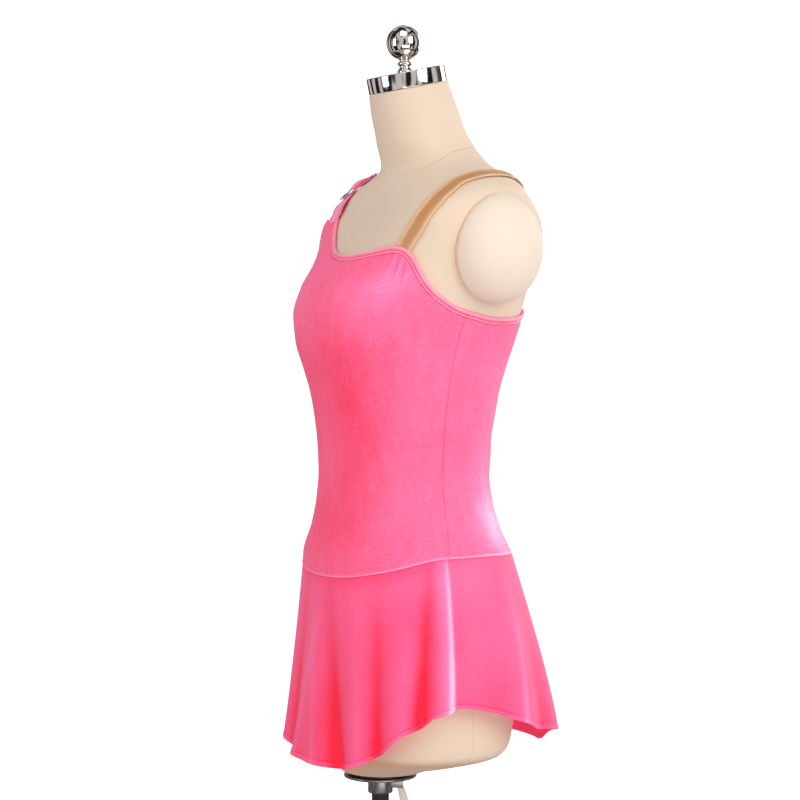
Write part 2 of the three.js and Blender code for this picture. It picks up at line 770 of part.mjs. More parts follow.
function baseGeometry() {
  const bore = POLE_RADIUS + SEAM_GAP;
  return turned([[0, 0], [BASE_RADIUS - 1, 0], [BASE_RADIUS, 1], [BASE_RADIUS, 5], [BASE_RADIUS - 4, 8],
    [SOCKET_RADIUS + 4, 8], [SOCKET_RADIUS, 12], [SOCKET_RADIUS, SOCKET_TOP - 2],
    [SOCKET_RADIUS - 2, SOCKET_TOP], [bore, SOCKET_TOP], [bore, POLE_SEAT], [0, POLE_SEAT]], 32);
}

function poleGeometry() {
  const low = POLE_SEAT + SEAM_GAP;
  const high = FORM_LIFT + POLE_IN_FORM;
  return turned([[0, low], [POLE_RADIUS, low], [POLE_RADIUS, high - 1.5], [POLE_RADIUS - 1.5, high],
    [0, high]], 24);
}

// Turns a geometry drawn along +X round to the lever's bearing and lifts it to the clamp.
function atLever(geometry) {
  geometry.rotateZ(degToRad(LEVER_BEARING));
  return geometry.translate(0, 0, FORM_LIFT + LEVER_DROP);
}

// The clamp's collar with the two ears that hold its lever.
function collarGeometry() {
  const top = FORM_LIFT - SEAM_GAP;
  const collar = toManifold(ringGeometry(COLLAR_RADIUS, top - COLLAR_HEIGHT, top));
  const inner = POLE_RADIUS + RUNNING_GAP + 1;
  const ears = [-1, 1].map((side) => {
    const ear = new THREE.BoxGeometry(LEVER_OUT + 4 - inner, 2.4, 10);
    return toManifold(atLever(ear.translate((LEVER_OUT + 4 + inner) / 2, side * 6.7, 0)));
  });
  return fromManifold(collar.add(ears[0]).add(ears[1]));
}

// The lever: a round hub between the ears and a flat handle that hangs down and out.
function leverGeometry() {
  const width = 10;
  const hub = new THREE.CylinderGeometry(5, 5, width, 16).translate(LEVER_OUT, 0, 0);
  const outline = new THREE.Shape();
  outline.moveTo(-3.5, 0);
  outline.lineTo(3.5, 0);
  outline.quadraticCurveTo(9, -16, 13, -30);
  outline.quadraticCurveTo(16, -44, 12, -52);
  outline.quadraticCurveTo(6, -55, 4, -48);
  outline.quadraticCurveTo(2, -24, -3.5, 0);
  const handle = new THREE.ExtrudeGeometry(outline, { depth: width, bevelEnabled: false, curveSegments: 5 });
  handle.translate(0, 0, -width / 2).rotateX(Math.PI / 2).translate(LEVER_OUT, 0, 0);
  return atLever(fromManifold(toManifold(hub).add(toManifold(handle))));
}

// ---------------------------------------------------------------- materials and assembly
const material = (color, roughness, metalness = 0) =>
  new THREE.MeshStandardMaterial({ color, roughness, metalness });
const pinkSpandex = () => material(0xf8649a, 0.5);
const pinkGeorgette = () => material(0xf7668f, 0.7);
const pinkBinding = () => material(0xf285ab, 0.45);
const nudeStrap = () => material(0xd9a980, 0.5);
const creamCover = () => material(0xead2bd, 0.75);
const chrome = () => material(0x8a8482, 0.15, 1);
const greyMetal = () => material(0x7d797b, 0.35, 0.8);
const blackMetal = () => material(0x15131a, 0.4, 0.6);
const beigePlastic = () => material(0xdbccbd, 0.5);

const dress = new THREE.Group();
function addPiece(name, geometry, look) {
  const piece = new THREE.Mesh(geometry, look);
  piece.name = name;
  dress.add(piece);
}

const neckEdge = insetEdge(neckFrames, -1);
const armEdge = insetEdge(armFrames, -1);
const backEdge = insetEdge(backFrames, 1);
addPiece('bodice_front', bodicePanel([...neckEdge, ...armEdge], FRONT), pinkSpandex());
addPiece('bodice_back', bodicePanel(backEdge, BACK), pinkSpandex());
addPiece('neckline_binding', bindingGeometry(neckFrames, -1), pinkBinding());
addPiece('armhole_binding', bindingGeometry(armFrames, -1), pinkBinding());
addPiece('back_binding', bindingGeometry(backFrames, 1), pinkBinding());
addPiece('skirt_front', skirtPanel(frontLeft, frontRight, 54, 8), pinkGeorgette());
addPiece('skirt_back', skirtPanel(backLeft, backRight, 46, 8), pinkGeorgette());
const strapLift = (t) => STRAP_LIFT * Math.sin(Math.PI * Math.min(t / LIFT_END, 1));
const pinkStrip = stripGeometry(rightStrap, STRAP_WIDTH, (t) => CLOTH_GAP + strapLift(t),
  (t) => CLOTH_OUT + strapLift(t));
const besideBack = toManifold(bindingGeometry(backFrames, 1, SEAM_GAP));
addPiece('strap_right', fromManifold(toManifold(pinkStrip).subtract(besideBack)), pinkBinding());
addPiece('strap_right_loop', loopGeometry(), pinkBinding());
const nudeStrip = stripGeometry(leftStrap, NUDE_STRAP_WIDTH, flat(CLOTH_GAP), flat(CLOTH_OUT));
const besideBinding = toManifold(bindingGeometry(neckFrames, -1, SEAM_GAP));
const nudeBands = toManifold(nudeStrip).subtract(besideBinding).subtract(besideBack).decompose();
const nudeBand = nudeBands.reduce((longest, band) => (band.volume() > longest.volume() ? band : longest));
addPiece('strap_left', fromManifold(nudeBand), nudeStrap());
addPiece('strap_slider', buckleGeometry(LOOP_START, [-10, -6, -2]), chrome());
addPiece('strap_ring', buckleGeometry(LOOP_END, [1.6, 7]), chrome());
addPiece('form', formGeometry(), creamCover());
addPiece('arm_pad_left', padGeometry(1), creamCover());
addPiece('arm_pad_right', padGeometry(-1), creamCover());
addPiece('neck_cap', capGeometry(), chrome());
addPiece('finial', finialGeometry(), chrome());
addPiece('form_plate', ringGeometry(PLATE_RADIUS, FORM_LIFT, FORM_LIFT + PLATE_HEIGHT, 0.6), greyMetal());
addPiece('form_spacer', ringGeometry(SPACER_RADIUS, FORM_LIFT + PLATE_HEIGHT + SEAM_GAP,
  FORM_LIFT + FORM_FOOT - SEAM_GAP, 0.4), blackMetal());
addPiece('collar', collarGeometry(), greyMetal());
addPiece('lever', leverGeometry(), beigePlastic());
addPiece('pole', poleGeometry(), blackMetal());
addPiece('base', baseGeometry(), blackMetal());

export default dress;
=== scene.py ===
import math

import bmesh
import bpy
import numpy as np
from bpy.props import FloatProperty, FloatVectorProperty, IntProperty, PointerProperty
from mathutils import Matrix, Vector


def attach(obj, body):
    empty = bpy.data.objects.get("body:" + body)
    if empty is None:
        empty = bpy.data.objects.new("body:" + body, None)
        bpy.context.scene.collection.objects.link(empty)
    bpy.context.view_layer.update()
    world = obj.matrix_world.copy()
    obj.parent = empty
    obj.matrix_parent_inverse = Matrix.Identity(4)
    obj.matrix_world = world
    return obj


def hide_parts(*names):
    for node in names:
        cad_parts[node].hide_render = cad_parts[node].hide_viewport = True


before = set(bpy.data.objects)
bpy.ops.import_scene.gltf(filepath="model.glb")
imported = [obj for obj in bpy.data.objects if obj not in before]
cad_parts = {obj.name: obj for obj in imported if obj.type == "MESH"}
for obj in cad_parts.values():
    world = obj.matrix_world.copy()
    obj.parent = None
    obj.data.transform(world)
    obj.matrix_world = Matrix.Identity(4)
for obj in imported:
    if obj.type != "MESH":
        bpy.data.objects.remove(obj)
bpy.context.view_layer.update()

bl_info = {
    "name": "Figure skating dress on a dress form",
    "version": (1, 0, 0),
    "blender": (4, 5, 0),
    "location": "3D View > Sidebar > Dress",
    "description": "Builds a velvet skating dress, the limbless form that wears it, and the form's stand",
    "category": "Object",
}

MM = 0.001

# From here to the settings, lengths are in millimetres unless a comment says metres; MM turns them to metres.
# Bearings are degrees round the form: 0 is the wearer's left, -90 the front and 90 the back. Heights on the
# form and the dress start at the form's underside.
FORM_LIFT = 470  # underside of the form above the floor
FORM_FOOT = 8  # where the form's own cover starts, above its plate
FORM_TOP = 790
NECK_TILT = 12  # degrees that the neck's top plane leans forward
LEAN_FROM = 740  # height where the neck begins to lean
SEAM_GAP = 0.3  # between two pieces that are sewn together
SIDE_SEAM_TOP = 536.5
HEART = (0, 65, 600)  # a point in the middle of the chest
WAIST_MIDDLE = (0, 40, 850)  # points inside the bodice and inside the skirt, above the floor
HIP_MIDDLE = (0, 40, 600)
ARC_PER_DEGREE = math.radians(1) * 120  # what one degree of bearing measures on the bodice, about
THIGH_RADIUS = 130
FAR = 99  # a distance past every seam and shade

FORM_SECTIONS = [
    # height, half width, Y of the front, the back and the widest point, squareness of the front and the back
    (4, 40, -41, 41, 0, 2.0, 2.0),
    (14, 66, -50, 65, 8, 2.1, 2.1),
    (26, 112, -59, 105, 21, 2.2, 2.2),
    (37, 144, -63, 128, 30, 2.3, 2.3),
    (46, 151, -65, 134, 32, 2.3, 2.3),
    (60, 154, -66, 137, 33, 2.3, 2.3),
    (100, 157, -69, 143, 34, 2.3, 2.3),
    (150, 157, -72, 149, 34, 2.3, 2.3),
    (200, 152.5, -73, 148, 35, 2.25, 2.25),
    (254, 142, -75, 142, 34, 2.2, 2.2),
    (290, 126, -66, 128, 32, 2.2, 2.2),
    (320, 115, -62, 121, 30, 2.2, 2.2),
    (350, 110.5, -60, 118, 29, 2.2, 2.2),
    (380, 112, -61, 119, 29, 2.2, 2.2),
    (410, 115, -64, 123, 29, 2.2, 2.2),
    (440, 120, -69, 128, 30, 2.2, 2.2),
    (470, 125, -78, 137, 31, 2.2, 2.2),
    (500, 130, -87, 148, 33, 2.25, 2.2),
    (530, 134, -89, 158, 37, 2.3, 2.2),
    (560, 139, -80, 165, 49, 2.25, 2.2),
    (590, 144, -57, 173, 57, 2.5, 2.3),
    (615, 148, -40, 175, 63, 3.05, 2.5),
    (638, 151, -30, 168, 68, 3.4, 2.6),
    (655, 151, -20, 153, 71, 3.1, 2.8),
    (670, 144, -13, 142, 73, 2.3, 2.8),
    (681, 130, -5, 138, 74, 1.85, 2.6),
    (690, 110, 2, 135, 73, 1.6, 2.3),
    (697, 88, 5.5, 133, 71, 1.55, 2.1),
    (705, 71, 6, 128, 66, 1.7, 2.0),
    (714, 62, 4.5, 121, 61, 1.85, 2.0),
    (725, 57, 1.5, 113, 55, 1.95, 2.0),
    (740, 52, -1.5, 104, 49, 2.0, 2.0),
    (762, 49, -6, 93.5, 42.5, 2.0, 2.0),
    (790, 45, -9.5, 80.5, 35.5, 2.0, 2.0),
]
SIDE_SEAM = [
    # height, bearing of the left side seam; the right one mirrors it
    (262, -7),
    (290, -4),
    (330, -2.4),
    (400, -1.9),
    (450, -1.5),
    (490, -0.3),
    (527, 1.1),
    (536.5, 1.5),
    (560, 1.5),
]
WAIST_SEAM = [
    # turn from the centre front in degrees, height
    (0, 236),
    (17, 238),
    (45, 247.5),
    (83, 262.5),
    (103, 263),
    (129, 261),
    (180, 259),
]
NECKLINE = [
    # bearing, height, bearing at the waist below: from the left side seam over the armhole, the peak and the
    # scoop to the inside of the right tab
    (1.38, 536.5, -7),
    (-3.6, 541.5, -12),
    (-10.3, 549.3, -18.5),
    (-16.9, 558.2, -25),
    (-23.3, 570.2, -31),
    (-28, 580.2, -35),
    (-32, 588.5, -39),
    (-36.8, 597, -43),
    (-41, 602, -47.5),
    (-46, 605.4, -52),
    (-52, 606.6, -57.5),
    (-62.9, 602.8, -67),
    (-77.5, 597.2, -79.5),
    (-85, 596.8, -85.5),
    (-89.5, 599.5, -90),
    (-92.4, 605, -93),
    (-94.8, 612, -95.5),
    (-96.6, 621, -98.5),
    (-97.6, 631, -101),
    (-98.6, 641, -104),
]
RIGHT_ARMHOLE = [
    # the same columns: outside of the right tab down to the right side seam
    (-115, 641, -114),
    (-121, 630, -119),
    (-131, 612, -126),
    (-143, 592.8, -135),
    (-153.4, 571.7, -146),
    (-164, 554.3, -156),
    (-177.5, 539, -169),
    (-181.38, 536.5, -173),
]
BACK_EDGE = [
    # the same columns: left side seam round the back to the right side seam
    (1.62, 536.5, -7),
    (14, 530.2, 8),
    (28, 528.5, 26),
    (44, 530, 42),
    (55, 534, 54),
    (66, 538, 65),
    (90, 540, 90),
    (114, 538, 115),
    (125, 534, 126),
    (136, 530, 138),
    (152, 528.5, 154),
    (166, 530.2, 172),
    (178.38, 536.5, 187),
]
NECK_SEAM = [
    # turn from the centre front, height of the seam round the neck's base on the form's cover
    (0, 687),
    (17, 688.8),
    (33, 692.4),
    (56, 701.3),
    (96, 715.8),
    (140, 723),
    (180, 725),
]
BODICE_FRONT_CUT = (0.42, 0.38)  # width and length of each cut, in metres
BODICE_BACK_CUT = (0.42, 0.3)
SKIRT_FRONT_CUT = (0.5, 0.22)
SKIRT_BACK_CUT = (0.56, 0.24)
BODICE_UV = (0.42, 0.36)  # what a panel's UV map measures, in metres
SKIRT_UV = (0.5, 0.2)
SKIRT_SPAN = 480  # across a skirt panel at its hem, about
BODICE_TURN = 0.0016  # depth in metres of the edge turned under at the waist seam
BODICE_LIGHT_LEVEL = 0.71  # where the painted light and shade start on each before any mark, from 0 to 2
SKIRT_LIGHT_LEVEL = 0.41
CREASE_LIGHT = 0.15  # how much a millimetre of height adds painted light, on the bodice and on the skirt: painted highlights on ridges, painted shade in hollows
FOLD_LIGHT = 0.022
HEM_SHADE = 0.3  # how much darker painted shade makes the skirt's hem than its top
BODICE_SPECKLE = 0.85  # how strongly the pile glitters
SKIRT_SPECKLE = 0.16
BODICE_SIDE = [(0.3, 2.2, 1.2), (-0.5, 0, 0.9)]  # height, distance from its seam and half width of each roll
BODICE_FOOT = [(0.55, 1.6, 1.5), (-0.5, 5.0, 1.6)]
SKIRT_SIDE = [(-0.5, 0, 1.0), (0.25, 2.4, 1.3)]
SKIRT_TOP = [(-1.2, 0, 2.2)]
HEM_STITCHING = [(-0.3, 0.8, 0.9)]
HEM_STEP = 0.4  # how far the turned-up hem stands out
RIM_HEIGHT = 40  # where the form's side turns into its slanted underside
RIM_SHADE = 4  # half the height of the warm shade there
RIM_SHADE_TOP = 60
THIGH_SEAM = [
    # height, bearing of the cover's left side seam below the dress; the right one mirrors it
    (8, 4),
    (53.6, 3.4),
    (90.5, 2.1),
    (140, 1),
]
BINDING_SECTION = [
    # across from the edge, out from the form: a broad roll, a groove and a narrow roll
    (0.7, 0.9),
    (4, 0.8),
    (7.4, 0.9),
    (7.9, 1.7),
    (7.6, 2.9),
    (6.7, 3.5),
    (5.8, 3.1),
    (5.2, 2.3),
    (4.6, 3.0),
    (3.6, 3.8),
    (2.3, 4.1),
    (1.0, 3.7),
    (0.2, 2.7),
    (0.1, 1.6),
]
HEM = [
    # turn from the centre front, height
    (0, 27),
    (20, 27),
    (30, 30),
    (48, 50),
    (61, 76),
    (69, 84),
    (73, 95),
    (78, 103),
    (82, 107),
    (90, 103),
    (97, 98),
    (104, 90),
    (111, 83),
    (118, 74),
    (140, 62),
    (153, 53),
    (163, 38),
    (172, 33),
    (180, 32),
]
FLARE = [
    # turn from the centre front, how far out the hem hangs from the waist seam, how soon it leaves the hip
    (0, 21, 0.75),
    (18, 21, 0.75),
    (34, 18.5, 0.85),
    (50, 25, 1.1),
    (60, 29, 1.3),
    (83, 44, 1.3),
    (105, 46, 1.3),
    (140, 47, 1.3),
    (180, 48, 1.3),
]
FOLDS = [
    # bearing at the waist and at the hem, height at the hem (a trough below zero), half widths towards the
    # front and the back in degrees, how slowly it opens; each is mirrored, and those at -90 and 90 double
    (-90, -90, -1.5, 9, 9, 1.6),
    (-93, -84, 4, 7, 7, 1.4),
    (-82, -66, -9, 8, 7, 1.1),
    (-62, -53, 6.5, 6, 6, 1.3),
    (-49, -43, -9, 6, 6, 1.4),
    (-34, -30, 9, 9, 7, 1.4),
    (-16.5, -20.5, -13, 6, 5, 1.1),
    (-9.5, -12, 13, 5, 2.6, 0.9),
    (6, 5, -4, 8, 8, 1.6),
    (23, 21.5, 5, 7, 9, 1.2),
    (38, 38, -7, 8, 8, 1.6),
    (53, 53, 7, 9, 9, 1.6),
    (72, 72, -5, 9, 9, 1.6),
    (90, 90, 2, 9, 9, 1.6),
]
SEAM_AT_WAIST = SIDE_SEAM[0][1]
SKIRT_SEAM_TURN = -3  # degrees the side seam wanders from waist to hem
SKIRT_TUCK = 1.2  # how far the skirt's top reaches up behind the bodice's edge
SKIRT_LIGHT_AND_SHADE = [
    # painted light and shade on the skirt, among them painted shade in troughs and a painted glint by the
    # side seam, in the columns of the folds, with a lift in place of a height
    (-95, -82, 0.2, 2, 2, 0.5),
    (-80, -67, -0.36, 6, 4, 0.5),
    (-61, -55, 0.08, 5, 5, 0.6),
    (-47, -43, -0.3, 4, 4, 0.8),
    (-17, -23, -0.3, 4, 2.6, 0.3),
    (-11, -14.5, 0.34, 3.2, 3.6, 0.2),
    (-7.6, -10.4, 1.0, 1.7, 1.0, 0.2),
    (5, 0, 0.2, 10, 12, 0.2),
    (27, 22, 0.18, 12, 10, 0.4),
    (31, 20, 0.45, 1.6, 1.6, 1.0),
    (58, 56, 0.2, 9, 9, 0.8),
]

RIGHT_STRAP_ROUTE = [
    # x, y and height of points near the form
    (-62, -28, 642),
    (-63, -19, 655),
    (-65, -8, 668),
    (-69, 8, 681),
    (-78, 34, 690),
    (-85, 66, 693),
    (-87, 98, 688),
    (-85, 127, 673),
    (-82, 151, 645),
    (-80, 164, 612),
    (-78, 158, 575),
    (-77, 148, 532),
]
LEFT_STRAP_ROUTE = [
    (114.6, -24, 603),
    (118.5, -19, 614),
    (124, -14, 625),
    (130, -3, 644),
    (132, 6, 655),
    (130, 19, 665),
    (123, 40, 678),
    (120, 60, 684),
    (115, 84, 687),
    (98, 113, 681),
    (72, 138, 664),
    (50, 157, 636),
    (37, 167, 604),
    (32, 164, 572),
    (31, 153, 532),
]
LOOP_START = 0.11  # shares of the right strap's length that its doubled loop covers
LOOP_END = 0.185
LOOP_BULGE = 4
LOOP_STEPS = 400
STRAP_STEPS = 240
STRAP_LIFT = 3  # how far the right strap stands off the hollow below the shoulder
LIFT_END = 0.078  # share of its length at which it lies on the form again
LAP = 6  # how far the pink strap laps over the top of its tab
LAP_LIFT = 1.7
WIRE_RADIUS = 1.1  # of the slider and the ring
WIRE_ROOM = 2.6  # from the strap's edge to the middle of the wire beside it
WIRE_CORNER = 1.6
PAD_CENTRE = (141, 77, 605)
PAD_RADII = (42, 53, 61)
NECK_TOP = (0, 35.5, FORM_LIFT + FORM_TOP)
CAP_HEIGHT = 19
CAP_RADIUS = 45.5
BALL_RADIUS = 20
BALL_CENTRE = 33  # above the cap's top
FINIAL_LEAN = 3  # degrees
STEM_TOP = 5.6  # radius where the finial's stem meets its ball
STEM = [
    # radius, height above the cap
    (0, -3),
    (9, -3),
    (9, 1.2),
    (8.6, 1.8),
    (6.7, 3.6),
    (6.2, 5.2),
    (6.4, 6.6),
    (8.2, 8.0),
    (8.6, 9.0),
    (8.2, 10.3),
    (6.4, 11.6),
    (5.7, 13),
]
BORE_RADIUS = 10.4  # of what the pole passes through
POLE_RADIUS = 10
POLE_FOOT = 3.3  # heights of the pole's ends above the floor
POLE_TOP = 700
POLE_ROUNDING = 1.5
BASE_RADIUS = 190
SOCKET_RADIUS = 10.3  # of the base's socket for the pole
SOCKET_FLOOR = 3.1
SOCKET_TOP = 36
PLATE_RADIUS = 42
PLATE_TOP = FORM_LIFT + 3
SPACER_RADIUS = 37
SPACER_TOP = FORM_LIFT + 7.7
COLLAR_RADIUS = 14.3
COLLAR_TOP = FORM_LIFT - SEAM_GAP
COLLAR_LENGTH = 19
EAR_SIZE = (14.4, 2.4, 10)  # the two ears that hold the lever's hub
EAR_PLACE = (18.8, 6.7)  # out from the pole, and aside
LEVER_BEARING = 65
LEVER_HEIGHT = FORM_LIFT - 8
LEVER_OUT = 22  # from the pole's axis to the middle of the lever's hub
LEVER_THICKNESS = 10
LEVER_OUTLINE = [
    # out from the hub's middle, height: over the hub, down the outside of the handle and back up its inside
    (-3.5, 0),
    (-5, 3),
    (-3, 4.8),
    (0, 5),
    (3, 4.8),
    (5, 3),
    (3.5, 0),
    (7.6, -12),
    (11, -24),
    (13.6, -34),
    (14.6, -42),
    (13.6, -49),
    (10.5, -52.8),
    (7, -52.4),
    (4.6, -48),
    (3, -38),
    (1.4, -26),
    (-0.8, -13),
]
BACKDROP_CURVE = 2500  # radius of the backdrop's bend
BACKDROP_TOP = 7000
LIGHTS = [
    # name, bearing from the front, height, distance, width and height in metres, power in watts
    ("Key", 112, 1.9, 2.6, (1.3, 1.8), 33),
    ("Fill", 0, 1.3, 2.8, (1.0, 1.9), 18),
    ("Top", 60, 3.2, 1.2, (1.4, 1.4), 11),
    ("Behind", 200, 1.6, 2.8, (1.2, 1.8), 21),
    ("Floor bounce", 80, 0.25, 1.9, (1.8, 0.5), 13),
]


# ---------------------------------------------------------------- settings
def length_setting(name, description, default):
    """A length in metres that a user can change."""
    return FloatProperty(name=name, description=description, default=default, unit="LENGTH")


def colour_setting(name, description, default):
    """A colour that a user can change."""
    return FloatVectorProperty(name=name, description=description, default=default, subtype="COLOR")


def angle_setting(name, description, degrees):
    """An angle that a user can change."""
    return FloatProperty(name=name, description=description, default=math.radians(degrees), subtype="ANGLE")


class DressSettings(bpy.types.PropertyGroup):
    cloth_gap: length_setting("Cloth gap", "Form to the inside of the cloth", 0.0012)
    cloth_wall: length_setting("Cloth thickness", "Thickness of the velvet", 0.0015)
    binding_width: length_setting("Binding width", "Width of the rolled edge", 0.008)
    strap_width: length_setting("Pink strap width", "Width of the adjustable strap", 0.024)
    nude_strap_width: length_setting("Nude strap width", "Width of the skin-coloured strap", 0.018)
    hem_depth: length_setting("Hem depth", "Depth of the turned-up hem", 0.006)
    bodice_colour: colour_setting("Bodice", "Velvet of the bodice", (0.97, 0.1, 0.215))
    skirt_colour: colour_setting("Skirt", "Velvet of the skirt", (0.97, 0.1, 0.245))
    lining_colour: colour_setting("Wrong side", "Back of the velvet, inside the skirt", (0.95, 0.045, 0.11))
    # the light pile colour also paints highlights on the velvet
    light_pile_and_highlight: colour_setting("Pile light", "Velvet where its pile is brushed up", (0.97, 0.2, 0.41))
    # the deep pile colour also paints shade in the velvet's folds and in the grooves of the bindings and the
    # pink strap
    deep_pile_and_shade: colour_setting("Pile deep", "Velvet where its pile lies flat", (0.95, 0.013, 0.045))
    # the shine colour is a painted shine where the velvet would catch the light
    painted_shine: colour_setting("Pile shine", "Velvet where its pile faces the light", (0.93, 0.66, 0.9))
    # the roll colour is a painted highlight on the bindings' rolls
    roll_highlight: colour_setting("Roll light", "Stretched velvet on the rolled edges", (0.93, 0.37, 0.53))
    # the strap middle colour is a painted sheen down the pink strap's middle
    strap_sheen: colour_setting("Strap middle", "Velvet down the pink strap's middle", (0.93, 0.4, 0.66))
    # the nude strap's middle colour is the elastic in painted shade, and its edge colour the elastic under a
    # painted highlight
    nude_colour: colour_setting("Nude strap", "Skin-coloured elastic, in its middle", (0.47, 0.205, 0.075))
    nude_edge_highlight: colour_setting("Nude strap edge", "Skin-coloured elastic at its edges", (0.8, 0.47, 0.23))
    metal_colour: colour_setting("Strap metal", "Chrome of the slider and the ring", (0.92, 0.91, 0.9))


class FormSettings(bpy.types.PropertyGroup):
    cover_colour: colour_setting("Cover", "Knitted cover of the form", (0.74, 0.575, 0.435))
    pad_colour: colour_setting("Pads", "Knitted cover of the arm pads", (0.8, 0.665, 0.54))
    seam_colour: colour_setting("Cover seams", "Shade in the cover's seams", (0.34, 0.22, 0.15))
    root_colour: colour_setting("Cover roots", "Warm shade where a pad meets the form", (0.68, 0.36, 0.2))
    chrome_colour: colour_setting("Chrome", "Neck cap and finial", (0.66, 0.625, 0.6))
    clamp_colour: colour_setting("Clamp", "Grey metal of the clamp and plate", (0.2, 0.18, 0.185))
    pole_colour: colour_setting("Pole", "Black enamel of the pole and base", (0.012, 0.011, 0.014))
    lever_colour: colour_setting("Lever", "Plastic of the clamp's lever", (0.68, 0.58, 0.48))
    round_steps: IntProperty(
        name="Round steps", description="Sides of the turned metal parts", default=96, min=24, max=256)


class StageSettings(bpy.types.PropertyGroup):
    bearing: angle_setting("Camera bearing", "Turn of the camera round the form", 65)
    elevation: angle_setting("Camera elevation", "Camera above the horizon", 2.5)
    distance: length_setting("Camera distance", "Camera to the middle of the dress", 2.6)
    aim_depth: length_setting("Aim depth", "Y of the point looked at", 0.025)
    aim_height: length_setting("Aim height", "Height of the point looked at", 0.903)
    backdrop_radius: length_setting("Backdrop radius", "Flat floor before the backdrop curves up", 5.0)
    lens: FloatProperty(
        name="Lens", description="Focal length on a 36 mm sensor, in millimetres", default=101.74)


# ---------------------------------------------------------------- curves and the form's surface
def table_curve(rows):
    """Smooth monotone curve through a table's rows: first column in, the others out."""
    table = np.array(rows, float)
    x, y = table[:, 0], table[:, 1:]
    step = np.diff(x)[:, None]
    secant = np.diff(y, axis=0) / step
    before, after = secant[:-1], secant[1:]
    near, far = step[:-1], step[1:]
    turning = before * after <= 0
    ratio = (2 * far + near) / np.where(turning, 1, before) + (far + 2 * near) / np.where(turning, 1, after)
    inner = np.where(turning, 0, 3 * (near + far) / np.where(turning, 1, ratio))
    slope = np.vstack([secant[:1], inner, secant[-1:]])

    def at(value):
        value = np.clip(np.asarray(value, float), x[0], x[-1])
        i = np.clip(np.searchsorted(x, value, side="right") - 1, 0, len(x) - 2)
        t = (value - x[i])[..., None] / step[i]
        rise = y[i + 1] - y[i]
        pull = (t**3 - 2 * t**2 + t) * slope[i] + (t**3 - t**2) * slope[i + 1]
        return y[i] + (3 * t**2 - 2 * t**3) * rise + pull * step[i]

    return at


def smooth_route(points, count, dense=40):
    """Evenly spaced points on the centripetal curve through the given ones."""
    knots = np.array(points, float)
    outer = np.vstack([2 * knots[0] - knots[1], knots, 2 * knots[-1] - knots[-2]])
    gaps = np.sqrt(np.linalg.norm(np.diff(outer, axis=0), axis=1))
    s = np.linspace(0, 1, dense, endpoint=False)[:, None]
    runs = []
    for i in range(len(knots) - 1):
        p0, p1, p2, p3 = outer[i:i + 4]
        d0, d1, d2 = gaps[i:i + 3]
        leave = (p1 - p0) / d0 - (p2 - p0) / (d0 + d1) + (p2 - p1) / d1
        arrive = (p2 - p1) / d1 - (p3 - p1) / (d1 + d2) + (p3 - p2) / d2
        pull = (s**3 - 2 * s**2 + s) * leave * d1 + (s**3 - s**2) * arrive * d1
        runs.append(p1 + (3 * s**2 - 2 * s**3) * (p2 - p1) + pull)
    path = np.vstack(runs + [knots[-1:]])
    length = np.concatenate([[0], np.cumsum(np.linalg.norm(np.diff(path, axis=0), axis=1))])
    at = np.linspace(0, length[-1], count)
    return np.stack([np.interp(at, length, path[:, k]) for k in range(path.shape[1])], -1)


form_section = table_curve(FORM_SECTIONS)
side_seam = table_curve(SIDE_SEAM)
waist_seam = table_curve(WAIST_SEAM)
hem_height = table_curve(HEM)
flare_out = table_curve(FLARE)
neck_seam = table_curve(NECK_SEAM)
thigh_seam = table_curve(THIGH_SEAM)


def unit(vectors):
    """The vectors at length 1."""
    return vectors / np.linalg.norm(vectors, axis=-1, keepdims=True)


def signed_power(value, power):
    """A power that keeps its value's sign."""
    return np.sign(value) * np.abs(value) ** power


def form_point(bearing, height, out=0):
    """Points on the form's surface, or out from it, in millimetres."""
    bearing, height = np.broadcast_arrays(np.asarray(bearing, float), np.asarray(height, float))
    half_width, front, back, widest, square_front, square_back = np.moveaxis(form_section(height), -1, 0)
    cos, sin = np.cos(np.radians(bearing)), np.sin(np.radians(bearing))
    depth = np.where(sin < 0, widest - front, back - widest)
    square = np.where(sin < 0, square_front, square_back)
    x = half_width * signed_power(cos, 2 / square)
    y = widest + depth * signed_power(sin, 2 / square)
    lean = math.tan(math.radians(NECK_TILT)) * np.clip((height - LEAN_FROM) / (FORM_TOP - LEAN_FROM), 0, 1)
    points = np.stack([x, y, FORM_LIFT + height + lean * (y - widest)], -1)
    if np.any(out):
        points = points + form_normal(bearing, height) * np.asarray(out, float)[..., None]
    return points


def form_normal(bearing, height):
    """The way out of the form's surface."""
    around = form_point(bearing + 0.1, height) - form_point(bearing - 0.1, height)
    up = form_point(bearing, height + 0.5) - form_point(bearing, height - 0.5)
    return unit(np.cross(around, up))


def bearing_of(points):
    """Bearings of points at their own heights."""
    half_width, front, back, widest, square_front, square_back = np.moveaxis(
        form_section(points[..., 2] - FORM_LIFT), -1, 0)
    y = points[..., 1] - widest
    depth = np.where(y < 0, widest - front, back - widest)
    power = np.where(y < 0, square_front, square_back) / 2
    sin, cos = signed_power(y / depth, power), signed_power(points[..., 0] / half_width, power)
    return np.degrees(np.arctan2(sin, cos))


